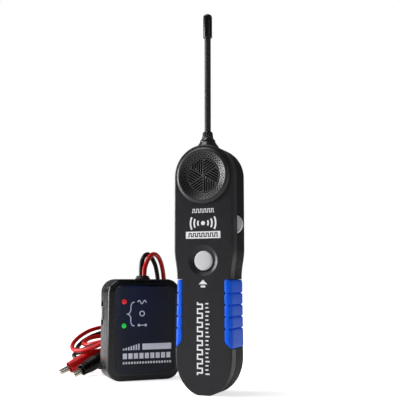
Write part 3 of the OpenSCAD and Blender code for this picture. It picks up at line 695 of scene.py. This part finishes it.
def make_grille():
    plate = [(0, -1.5), (GRILLE_R, -1.5), (GRILLE_R, -0.45), (GRILLE_R - 0.15, -0.3), (0, -0.3)]
    shape = turned(raised(plate, -FRONT), 96)
    grille = build("speaker_grid", [shape], "grille_black", facing_front(0, HEAD_Z))
    slots = []
    for sector in range(SECTORS):
        turn = Matrix.Translation((0, 0, HEAD_Z)) @ Matrix.Rotation(math.radians(60 * sector), 4, "Y")
        for i in range(SLOTS_EACH):
            x = SLOT_PITCH * i + BAR_WIDE + SLOT_WIDE / 2
            low = (x + SLOT_WIDE / 4) * math.tan(math.radians(30))
            high = math.sqrt((GRILLE_R - 0.8) ** 2 - x * x)
            if high - low < SLOT_SHORTEST:
                continue
            slot = box_part((-x - SLOT_WIDE / 2, FRONT - 1, low), (-x + SLOT_WIDE / 2, FRONT + 3, high))
            slots.append(moved(slot, turn))
    cut(grille, [build("slots", slots)])
    soften(grille, 0.12, 1)
    piece(grille, "receiver", "grille_black", "speaker_grille")


def make_button():
    rim = BUTTON_R + 1.3
    cap = [(0, -4.6), (rim, -4.6), (rim, -3.6), (BUTTON_R, -3.6), (BUTTON_R, -0.95), (BUTTON_R - 0.12, -0.6),
           (BUTTON_R - 0.45, -0.32), (BUTTON_R - 1.0, -0.18), (BUTTON_R - 3, -0.08), (BUTTON_R - 5, -0.02),
           (0, 0)]
    button = build("button_cap", [turned(raised(cap, -FRONT), 96)], "button_white", facing_front(0, BUTTON_Z))
    piece(button, "test_button", "button_white", "test_button")


def make_wheel():
    shaft = corners("sensitivity_wheel")[1].y
    profile = [(0, WHEEL_LOW), (WHEEL_R - 1.6, WHEEL_LOW), (WHEEL_R - 1.35, WHEEL_LOW + 0.12),
               (WHEEL_R - 1.1, WHEEL_LOW), (WHEEL_R - 0.35, WHEEL_LOW), (WHEEL_R, WHEEL_LOW + 0.35),
               (WHEEL_R, WHEEL_HIGH - 0.35), (WHEEL_R - 0.35, WHEEL_HIGH), (WHEEL_SHAFT, WHEEL_HIGH),
               (WHEEL_SHAFT, shaft), (0, shaft)]

    def knurl(radius, _, angle):
        groove = 0.06 + 0.06 * math.cos(48 * angle)
        return radius - groove if radius > WHEEL_R - 0.01 else radius

    put = Matrix.Translation((WHEEL_X, 0, WHEEL_Z)) @ Matrix.Rotation(math.radians(-90), 4, "X")
    wheel = build("wheel_disc", [turned(profile, 192, knurl)], "wheel_grey", put)
    piece(wheel, "sensitivity_wheel", "wheel_grey", "sensitivity_wheel")


make_bezel()
make_grille()
make_button()
make_wheel()

# ---------- antenna ----------


def make_collar():
    profile = [(0, 180.5), (5, 180.5), (5, 184.4), (8.9, 184.4), (8.85, 185.1), (8.5, 185.9),
               (7.9, 186.8), (7.2, 187.7), (6.7, 188.4), (6.35, 189.0), (6.1, 189.5), (6.1, 190.1),
               (5.9, 190.8), (5.4, 191.5), (4.75, 192.2), (4.35, 192.7), (0, 192.7)]

    def facet(radius, height, angle):
        flat = 0.16 * abs(math.sin(4 * angle))
        return radius - flat if 189.4 < height < 192 and radius > 1 else radius

    collar = build("collar_cone", [turned(profile, 96, facet)], "collar_plastic", ANTENNA_AXIS)
    piece(collar, "receiver", "collar_plastic", "antenna_collar")


def make_nut():
    profile = [(0, 192.7), (3.7, 192.7), (4.1, 192.85), (4.3, 193.2), (4.3, 193.7), (4.2, 193.9),
               (3.9, 196.7), (3.6, 197.3), (3.2, 197.7), (2.6, 198.1), (0, 198.1)]

    def flute(radius, height, angle):
        groove = 0.28 * max(0.0, math.cos(12 * angle))
        return radius - groove if 193.8 < height < 196.9 and radius > 1 else radius

    nut = build("strain_nut", [turned(profile, 144, flute)], "collar_plastic", ANTENNA_AXIS, 40)
    post = [(0, 198), (1.7, 198), (1.7, NUT_TOP + 1.6), (1.2, NUT_TOP + 2.4), (0, NUT_TOP + 2.8)]
    ball = build("stem_ball", [turned(post, 32)], "collar_plastic", ANTENNA_AXIS)
    piece(ball, "receiver", "collar_plastic", "antenna_nut")
    piece(nut, "receiver", "collar_plastic", "antenna_nut")


RIB_PITCH = STEM_PITCH / 8
STEM_CREST, STEM_VALLEY = 2.55, 2.2
STEM_FOOT = 197.9
TIP_R, TIP_ROUND = 3.5, 2.5


def ribbed(low, high):
    """Closed profile of the ribbed sleeve between two heights."""
    steps = max(2, round((high - low) / RIB_PITCH * 6))
    profile = [(0, low)]
    for i in range(steps + 1):
        z = low + (high - low) * i / steps
        wave = 0.5 + 0.5 * math.cos(2 * math.pi * (z - STEM_JOINTS[0]) / RIB_PITCH)
        profile.append((STEM_VALLEY + (STEM_CREST - STEM_VALLEY) * wave ** 0.6, z))
    return profile + [(0, high)]


def make_stem():
    reach = STEM_PITCH / 2
    for i, middle in enumerate(STEM_JOINTS):
        low = STEM_FOOT if i == 0 else middle - reach
        sleeve = build(f"stem_sleeve_{i + 1}", [turned(ribbed(low, middle + reach), 32)], "stem_rubber",
                       ANTENNA_AXIS, 70)
        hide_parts(f"stem_segment_{i + 1}")
        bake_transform(sleeve)
    top = turned(ribbed(STEM_JOINTS[-1] + reach, STEM_TOP + 0.3), 32)
    last = build("stem_sleeve_top", [top], "stem_rubber", ANTENNA_AXIS, 70)
    piece(last, "stem_6", "stem_rubber")


def make_tip():
    foot = raised([(0, 0), (TIP_R - 0.5, 0), (TIP_R - 0.12, 0.12), (TIP_R, 0.5)], STEM_TOP)
    crown = arc(TIP_R - TIP_ROUND, TIP_TOP - TIP_ROUND, TIP_ROUND, TIP_ROUND, 0, 90, 9)
    profile = foot + crown + [(0, TIP_TOP)]
    tip = build("antenna_cap", [turned(profile, 64)], "stem_rubber", ANTENNA_AXIS, 45)
    piece(tip, "stem_6", "stem_rubber", "antenna_tip")


make_collar()
make_nut()
make_stem()
make_tip()

# ---------- transmitter ----------

TX_WALL = 4.0
GLAND_HOLE_R = 5.15
GLAND_AXIS = TX_FRAME @ Matrix.Translation((GLAND_X, 0, 0))
LED_R, LED_RIM_R = 2.1, 2.9


def box_ring(y, inset):
    """Upright rounded rectangle in the transmitter's frame."""
    corner = max(TX_CORNER - inset, 1.0)
    x = TX_HALF - inset - corner
    low, high = inset + corner, TX_HEIGHT - inset - corner
    outline = []
    for quarter, (cx, cz) in enumerate([(x, low), (x, high), (-x, high), (-x, low)]):
        outline += arc(cx, cz, corner, corner, 90 * quarter - 90, 90 * quarter, 12)
    return [(px, y, pz) for px, pz in outline]


def box_solid(name, stations, slot="part_black"):
    return build(name, [skin([box_ring(y, inset) for y, inset in stations])], slot, TX_FRAME)


def box_cavity():
    return box_solid("box_cavity", [(TX_FRONT + 5, TX_WALL), (TX_BACK - 4.8, TX_WALL)])


def gland_cutter():
    return build("gland_cutter", [rod(GLAND_HOLE_R, TX_HEIGHT - 6, TX_HEIGHT + 2)], place=GLAND_AXIS)


def led_seats(radius, high):
    return bore(radius, TX_FRONT - 2, TX_FRONT + high, [(LED_X, z) for z in LED_ZS.values()], TX_FRAME)


TX_SCREWS = [(-22.5, 77.5), (22.5, 77.5), (-22.5, 7.5), (22.5, 7.5)]
TX_DOOR_X, TX_DOOR_LOW, TX_DOOR_HIGH = 4.0, 16.0, 66.0


def make_box_front():
    steps = [(0.45, 6.45), (0.45, 6.35), (0.02, 6.3), (0, 6.1), (0.02, 5.0), (0.12, 4.5), (0.35, 4.1),
             (1.0, 3.3), (1.15, 2.95), (1.2, 1.9), (1.3, 1.45), (1.6, 1.0), (2.1, 0.55), (2.7, 0.22),
             (3.5, 0.06), (4.4, 0.0), (6.35, 0.0), (6.6, 0.35), (6.95, 0.35), (7.2, 0.0)]
    stations = [(TX_FRONT + depth, inset) for depth, inset in steps]
    stations += [(TX_PARTING - 0.25, 0.0), (TX_PARTING - 0.02, 0.22)]
    shell = box_solid("box_front_case", stations, "transmitter_black")
    cut(shell, [box_cavity(), gland_cutter(), led_seats(2.25, 4.5)])
    flatten(shell)
    piece(shell, "transmitter", "transmitter_black", "transmitter_front_shell")


def make_box_back():
    stations = [(TX_PARTING + 0.02, 0.22), (TX_PARTING + 0.25, 0.0)] + rounding(TX_BACK - 3.2, 3.2, 7)
    shell = box_solid("box_back_case", stations, "transmitter_black")
    slot_low = (-40, SWITCH_Y - SWITCH_SLOT, SWITCH_Z - 10)
    slot_high = (-TX_HALF + 6, SWITCH_Y + SWITCH_SLOT, SWITCH_Z + 10)
    cut(shell, [
        box_cavity(), gland_cutter(),
        build("slot", [box_part(slot_low, slot_high)], place=TX_FRAME),
        *battery_way(TX_DOOR_X, TX_DOOR_LOW, TX_DOOR_HIGH, TX_BACK, TX_FRAME),
        bore(SCREW_SINK_R, TX_BACK - SCREW_SINK_DEEP, TX_BACK + 1, TX_SCREWS, TX_FRAME),
    ])
    flatten(shell)
    piece(shell, "transmitter", "transmitter_black", "transmitter_back_shell")


def make_panel():
    stations = [(TX_FRONT + 0.4, PANEL_INSET), (TX_FRONT + 0.06, PANEL_INSET), (TX_FRONT, PANEL_INSET + 0.1)]
    panel = box_solid("front_label", stations, "panel_blue_black")
    cut(panel, [led_seats(2.2, 3)])
    flatten(panel)
    piece(panel, "transmitter", "panel_blue_black", "transmitter_panel")


def make_led(colour):
    profile = [(0, -5.8), (LED_RIM_R, -5.8), (LED_RIM_R, -4.8), (LED_R, -4.8)]
    profile += arc(0, -0.1, LED_R, 1.3, 0, 90, 9)
    lamp = build(f"{colour}_lamp", [turned(raised(profile, -TX_FRONT), 48)], f"led_{colour}",
                 TX_FRAME @ facing_front(LED_X, LED_ZS[colour]))
    piece(lamp, "transmitter", f"led_{colour}", f"{colour}_led")


def make_knob():
    place = TX_FRAME @ Matrix.Translation((-TX_HALF, SWITCH_Y, SWITCH_Z))
    half = SWITCH_SLOT - 0.4
    knob = build("switch_knob", [box_part((-1.3, -half, -5.5), (1.6, half, 5.5))], "knob_white", place)
    grooves = [box_part((-2, -4, z - 0.3), (-0.9, 4, z + 0.3)) for z in (-3, -1.5, 0, 1.5, 3)]
    cut(knob, [build("grooves", grooves, place=place)])
    soften(knob, 0.25)
    stem = build("switch_stem", [box_part((1.5, -1, -1.5), (5, 1, 1.5))], "knob_white", place)
    soften(stem, 0.15)
    piece(stem, "mode_switch_knob", "knob_white", "mode_switch_knob")
    piece(knob, "mode_switch_knob", "knob_white", "mode_switch_knob")


def make_gland():
    profile = [(0, -3), (5, -3), (5, 0.05), (6.4, 0.05), (6.5, 0.2), (6.45, 0.7), (6.1, 1.0), (5.9, 1.1),
               (5.75, 1.4), (5.35, 2.5), (5.2, 2.8), (4.9, 3), (0, 3)]
    gland = build("strain_relief", [turned(raised(profile, TX_HEIGHT), 64)], "part_black", GLAND_AXIS, 40)
    piece(gland, "transmitter", "part_black", "lead_gland")


make_box_front()
make_box_back()
make_panel()
for lamp_colour in LED_ZS:
    make_led(lamp_colour)
make_knob()
make_gland()

# ---------- battery doors ----------


def make_door(unit, slot, x, low, high, face, place=Matrix()):
    name = f"{unit}_battery_door"
    plate = box_part((x - DOOR_HALF, face - 1.6, low), (x + DOOR_HALF, face, high))
    door = build(f"{unit}_door", [plate], slot, place)
    ridges = [box_part((x - 7, face - 0.5, high - 12 + 2 * i), (x + 7, face + 1, high - 11 + 2 * i))
              for i in range(5)]
    arrow = prism([(x - 3, high - 16.5), (x + 3, high - 16.5), (x, high - 20)], face - 0.35, face + 1)
    cut(door, [build("ridges", ridges + [arrow], place=place)])
    soften(door, 0.2)
    piece(door, name, slot, name)


make_door("receiver", "casing_rear", 0, DOOR_LOW, DOOR_HIGH, BACK)
make_door("transmitter", "transmitter_black", TX_DOOR_X, TX_DOOR_LOW, TX_DOOR_HIGH, TX_BACK, TX_FRAME)

# ---------- clips ----------

CLIP_HALF = 1.6
JAW_WALL = 0.5
BOOT_WIDEST = 14
BOOT_STEPS = 150
LEAD_HOLE_R = 1.62


def boot_half(x):
    """The boot's half width at x: widest in the middle, narrow at the lead."""
    if x < BOOT_WIDEST:
        return 5 + 1.4 * math.sin(math.radians(90 * (x + CLIP_MOUTH) / (BOOT_WIDEST + CLIP_MOUTH)))
    return 6.4 - 3.9 * (1 - math.cos(math.radians(90 * (x - BOOT_WIDEST) / (CLIP_TAIL - BOOT_WIDEST))))


def boot_ring(x, radius):
    """A flattened ring round the clip's axis."""
    ring = []
    for i in range(48):
        turn = 2 * math.pi * i / 48
        across, up = (math.copysign(abs(v) ** 0.9, v) for v in (math.cos(turn), math.sin(turn)))
        ring.append((x, radius * 0.97 * across, radius * 0.95 * up))
    return ring


def make_boot(colour):
    lip = arc(0.4 - CLIP_MOUTH, boot_half(-CLIP_MOUTH) - 0.1, -0.55, 0.5, -90, 90, 6)
    rings = [boot_ring(x, radius) for x, radius in lip]
    for i in range(4, BOOT_STEPS + 1):
        x = -CLIP_MOUTH + (CLIP_TAIL - 0.8 + CLIP_MOUTH) * i / BOOT_STEPS
        rib = 0.0
        if 2 < x < 12:
            rib = 0.22 * max(0.0, math.sin(2 * math.pi * (x - 2) / 2.0))
        if 21 < x < 31:
            rib = -0.18 * max(0.0, math.sin(2 * math.pi * (x - 21) / 2.0))
        rings.append(boot_ring(x, boot_half(x) + rib))
    tail = boot_half(CLIP_TAIL)
    for x, radius in [(CLIP_TAIL - 0.3, tail - 0.12), (CLIP_TAIL, tail - 0.5), (CLIP_TAIL, LEAD_HOLE_R),
                      (29.6, LEAD_HOLE_R)]:
        rings.append(boot_ring(x, radius))
    for i in range(9, -1, -1):
        x = -CLIP_MOUTH + 0.6 + (29.5 + CLIP_MOUTH - 0.6) * i / 9
        rings.append(boot_ring(x, boot_half(x) - 0.6))
    slot = f"boot_{colour}"
    boot = build(f"{colour}_boot_sleeve", [skin(rings, closed=True)], slot, CLIP_FRAMES[colour], 60)
    return piece(boot, "transmitter", slot, f"{colour}_clip_boot")


def teeth(start, end, level, tall, count):
    """Zigzag points along X from start to end."""
    step = (end - start) / count
    points = []
    for i in range(count):
        points += [(start + step * i, level), (start + step * (i + 0.5), level + tall)]
    return points + [(end, level)]


def channel(name, colour, outline, hollow):
    """A folded sheet jaw: its side outline, with a channel taken out of its middle."""
    inner = CLIP_HALF - JAW_WALL
    jaw = build(name, [prism(outline, -CLIP_HALF, CLIP_HALF)], "clip_nickel", CLIP_FRAMES[colour])
    cut(jaw, [build("inside", [prism(hollow, -inner, inner)], place=CLIP_FRAMES[colour])])
    soften(jaw, 0.08, 1)
    return jaw


def make_lower_jaw(colour):
    nose = -CLIP_NOSE
    top = teeth(-3.6, nose + 0.2, -0.75, 0.55, 8)
    outline = [(nose, -1.1), (nose + 0.4, -1.75), (nose + 1.4, -2.1), (-4, -2.85), (3, -3.2), (16, -4.6),
               (19, -4.4), (27, -1.2), (27, -0.4), (18.6, -3.2), (15.8, -3.3), (4, -2.0), (1.6, 1.2),
               (-1.6, 1.2), (-3, -0.6)] + top
    hollow = [(nose + 0.7, -1.3), (nose + 1.4, -1.6), (-4, -2.35), (3, -2.7), (14, -3.9), (14, 3),
              (nose + 0.7, 3)]
    jaw = channel(f"{colour}_lower_jaw", colour, outline, hollow)
    return piece(jaw, "transmitter", "clip_nickel", f"{colour}_clip_fixed_jaw")


def make_upper_jaw(colour):
    nose = -CLIP_NOSE
    bottom = teeth(nose + 0.2, -3.6, 0.75, -0.55, 8)
    outline = bottom + [(-2.6, 0.9), (2, 1), (4, 1.9), (16, 3.3), (17, 3.5), (17, 4.3), (15.6, 4.2), (3, 2.9),
                        (-2.4, 2.7), (-4, 2.15), (nose + 1.4, 1.85), (nose + 0.4, 1.6), (nose, 1.1)]
    hollow = [(nose + 0.7, -2), (14, -2), (14, 2.5), (3, 2.3), (-2.4, 2.15), (-4, 1.65), (nose + 1.4, 1.45),
              (nose + 0.7, 1.2)]
    jaw = channel(f"{colour}_upper_jaw", colour, outline, hollow)
    sleeve = turned([(0.9, -1.0), (1.7, -1.0), (1.8, -0.9), (1.8, 0.9), (1.7, 1.0), (0.9, 1.0)], 32)
    hub = build(f"{colour}_jaw_hub", [sleeve], "clip_nickel", CLIP_FRAMES[colour] @ facing_front(0, 0))
    node = f"{colour}_clip_moving_jaw"
    return [piece(part, f"{colour}_clip_jaw", "clip_nickel", node) for part in (hub, jaw)]


for colour in ROUTES:
    made = [make_boot(colour), make_lower_jaw(colour)] + make_upper_jaw(colour)
    made += [frame["nodes"][f"{colour}_clip_{part}"] for part in ("pin", "spring")]

# ---------- printed marks ----------

INK_PROUD, INK_SUNK = 0.07, 0.03


def inked(outline):
    """A mark on the face at y = 0."""
    return prism(outline, -INK_PROUD, INK_SUNK)


def stroke(points, width):
    """A line of even width along the points, with mitred corners."""
    points = [Vector(p) for p in points]
    steps = [(b - a).normalized() for a, b in zip(points, points[1:])]
    left, right = [], []
    for point, before, after in zip(points, steps[:1] + steps, steps + steps[-1:]):
        way = (before + after).normalized()
        across = Vector((-way.y, way.x))
        stretch = max(0.5, across.dot(Vector((-before.y, before.x))))
        left.append(tuple(point + across * width / 2 / stretch))
        right.append(tuple(point - across * width / 2 / stretch))
    return inked(left + right[::-1])


def patch(x0, z0, x1, z1):
    return inked([(x0, z0), (x1, z0), (x1, z1), (x0, z1)])


def circle(x, z, radius):
    return arc(x, z, radius, radius, 0, 360, 32)[:-1]


def disc(x, z, radius):
    return inked(circle(x, z, radius))


def ring_mark(x, z, radius, width):
    inner, outer = circle(x, z, radius - width / 2), circle(x, z, radius + width / 2)
    section = [(inner, -INK_PROUD), (outer, -INK_PROUD), (outer, INK_SUNK), (inner, INK_SUNK)]
    return skin([[(a, y, b) for a, b in edge] for edge, y in section], closed=True)


def square_wave(start, end, low, high, pulses):
    """Points of a square wave along the first axis."""
    points = [(start, low)]
    step = (end - start) / pulses
    for i in range(pulses):
        rise, fall = (start + step * (i + share) for share in (0.25, 0.75))
        points += [(rise, low), (rise, high), (fall, high), (fall, low)]
    return points + [(end, low)]


def make_receiver_marks():
    white = [patch(-14, 115, 14, 120.3), disc(0, 126.5, 1.6)]
    for radius in (4.2, 7.2, 10.2):
        for side in (0, 180):
            white.append(stroke(arc(0, 126.5, radius, radius, side - 27, side + 27, 12), 1.3))
    upright_wave = [(x, z) for z, x in square_wave(14.7, 67.8, -4.4, -0.6, 8)]
    white += [stroke(square_wave(-9, 9, 134.6, 137.2, 6), 0.5), inked([(-3.5, 80.9), (3.5, 80.9), (0, 84.3)]),
              patch(-1.8, 78.6, 1.8, 80.0), stroke(upright_wave, 1.1)]
    for i in range(18):
        z = 15.2 + i * 3.0
        long = 4.6 if i % 3 == 0 else 3.2
        white.append(patch(2.0, z, 2.0 + long * 0.7, z + 1.0))
    marks = build("receiver_print", white, "print_white", Matrix.Translation((0, FRONT, 0)))
    piece(marks, "receiver", "print_white")
    dark = stroke(square_wave(-12.2, 12.2, 116.4, 118.9, 7), 0.75)
    wave = build("receiver_print_wave", [dark], "print_dark", Matrix.Translation((0, FRONT - INK_PROUD, 0)))
    piece(wave, "receiver", "casing_black")


def brace(x, z, tall, wide):
    """Half of a curly brace from its point at (x, z) to its tip."""
    half = tall / 2
    spine = x + wide * 0.5
    bend = min(half * 0.3, wide * 0.5)
    first = [(x, z), (spine - bend * 0.4, z + bend * 0.25), (spine, z + bend)]
    last = [(spine, z + half - bend), (spine + bend * 0.4, z + half - bend * 0.2), (x + wide, z + half)]
    return first + last


def make_transmitter_marks():
    upper = brace(-16.2, 55.7, 20, 6.5)
    lower = [(x, 2 * 55.7 - z) for x, z in upper]
    wave = [(-7.0 + 0.7 * i, 65.6 + 1.5 * math.sin(i * 0.9)) for i in range(12)]
    marks = [stroke(lower[::-1] + upper[1:], 0.8), stroke(wave, 0.8), ring_mark(-3, 56, 2.0, 0.8),
             disc(-5.8, 46.3, 1.1), disc(0.2, 46.3, 1.1), stroke([(-5.8, 46.3), (0.2, 46.3)], 0.6)]
    for i in range(7):
        x = -19.5 + i * 2.2
        marks.append(patch(x, 25.8, x + 1.3, 27.2 + 0.62 * i))
    marks.append(patch(-2.6, 25.8, 23.2, 30.9))
    for i in range(9):
        x = -19.5 + i * 4.8
        marks.append(patch(x, 18.6, x + 3.6, 23.2))
    for i in range(18):
        x = -19.5 + i * 2.42
        marks.append(patch(x, 14.4, x + 1.5, 16.2))
    ink = build("transmitter_print", marks, "print_white", TX_FRAME @ Matrix.Translation((0, TX_FRONT, 0)))
    piece(ink, "transmitter", "print_white")


make_receiver_marks()
make_transmitter_marks()

# ---------- parts that keep their CAD shape ----------

KEPT = {
    "speaker_steel": ["speaker_frame"],
    "speaker_paper": ["speaker_cone"],
    "magnet_ferrite": ["speaker_magnet"],
    "part_black": ["button_switch", "wheel_potentiometer", "receiver_battery_snap", "mode_switch_body",
                   "transmitter_battery_snap"],
    "board_green": ["receiver_board", "transmitter_board"],
    "cell_metal": ["receiver_battery", "transmitter_battery"],
    "screw_steel": ["receiver_screws", "transmitter_screws"],
    "coil_copper": ["pickup_coil"],
    "clip_nickel": ["red_clip_pin", "red_clip_spring", "black_clip_pin", "black_clip_spring"],
}
EDGE_MM = 0.12
for slot, names in KEPT.items():
    for node in (frame["nodes"][name] for name in names):
        node.data.materials.clear()
        node.data.materials.append(MATERIALS[slot])
        node.modifiers.new("weld", "WELD").merge_threshold = 1e-5
        edges = node.modifiers.new("edges", "BEVEL")
        edges.width = EDGE_MM * MM
        edges.segments = 2
        edges.limit_method = "ANGLE"
        edges.angle_limit = math.radians(40)
        node.modifiers.new("flat", "WEIGHTED_NORMAL")

# ---------- surroundings ----------

FLOOR_GLOW, FLOOR_FILL = 0.7, 0.15
FLOOR_HALF_M = 3.0
WHITE = (1, 1, 1, 1)
ROOM_LIGHT = 0.12
MIDDLE = (-0.04, 0.02, 0.1)


def make_stage():
    """A white floor that glows more for the camera than it does as a source of light."""
    paint = bpy.data.materials.new("floor_white")
    paint.use_nodes = True
    tree = paint.node_tree
    shader = tree.nodes["Principled BSDF"]
    fill(shader, {"Base Color": (0.95, 0.95, 0.95, 1), "Roughness": 0.9, "Specular IOR Level": 0.05,
                  "Emission Color": WHITE})
    ray = add_node(tree, "LightPath")
    glow = add_node(tree, "Math")
    glow.operation = "MULTIPLY_ADD"
    fill(glow, {1: FLOOR_GLOW - FLOOR_FILL, 2: FLOOR_FILL})
    tree.links.new(ray.outputs["Is Camera Ray"], glow.inputs[0])
    tree.links.new(glow.outputs[0], shader.inputs["Emission Strength"])
    half = FLOOR_HALF_M
    mesh = bpy.data.meshes.new("floor")
    square = [(-half, -half, 0), (half, -half, 0), (half, half, 0), (-half, half, 0)]
    mesh.from_pydata(square, [], [(0, 1, 2, 3)])
    mesh.materials.append(paint)
    floor = link(bpy.data.objects.new("floor", mesh))


def aim(light, place, target):
    light.location = place
    light.rotation_euler = (Vector(target) - Vector(place)).to_track_quat("-Z", "Y").to_euler()


def make_light(name, place, width, height, power):
    data = bpy.data.lights.new(name, "AREA")
    data.shape = "RECTANGLE"
    data.size, data.size_y = width, height
    data.energy = power
    aim(link(bpy.data.objects.new(name, data)), place, MIDDLE)


def make_sun(place, strength, spread_degrees):
    data = bpy.data.lights.new("overhead", "SUN")
    data.energy = strength
    data.angle = math.radians(spread_degrees)
    aim(link(bpy.data.objects.new("overhead", data)), place, (0, 0, 0))


def make_world():
    """White where the camera looks at it, and dim as a source of light, so that dark parts stay dark."""
    world = bpy.data.worlds.new("studio")
    world.use_nodes = True
    tree = world.node_tree
    dim = fill(tree.nodes["Background"], {"Color": WHITE, "Strength": ROOM_LIGHT})
    white = add_node(tree, "Background", {"Color": WHITE, "Strength": 1.0})
    mix = add_node(tree, "MixShader")
    ray = add_node(tree, "LightPath")
    tree.links.new(ray.outputs["Is Camera Ray"], mix.inputs[0])
    tree.links.new(dim.outputs[0], mix.inputs[1])
    tree.links.new(white.outputs[0], mix.inputs[2])
    tree.links.new(mix.outputs[0], tree.nodes["World Output"].inputs["Surface"])
    bpy.context.scene.world = world


make_stage()
make_world()
make_sun((-0.5, -0.25, 1.0), 1.5, 40)
make_light("left_window", (-1.0, -0.3, 0.25), 0.4, 0.6, 13)
make_light("left_rear", (-1.0, 0.42, 0.5), 0.1, 0.5, 0.5)
make_light("front_strip", (0.88, -0.5, 0.25), 0.02, 0.8, 0.8)

bpy.context.scene.view_settings.view_transform = "Standard"
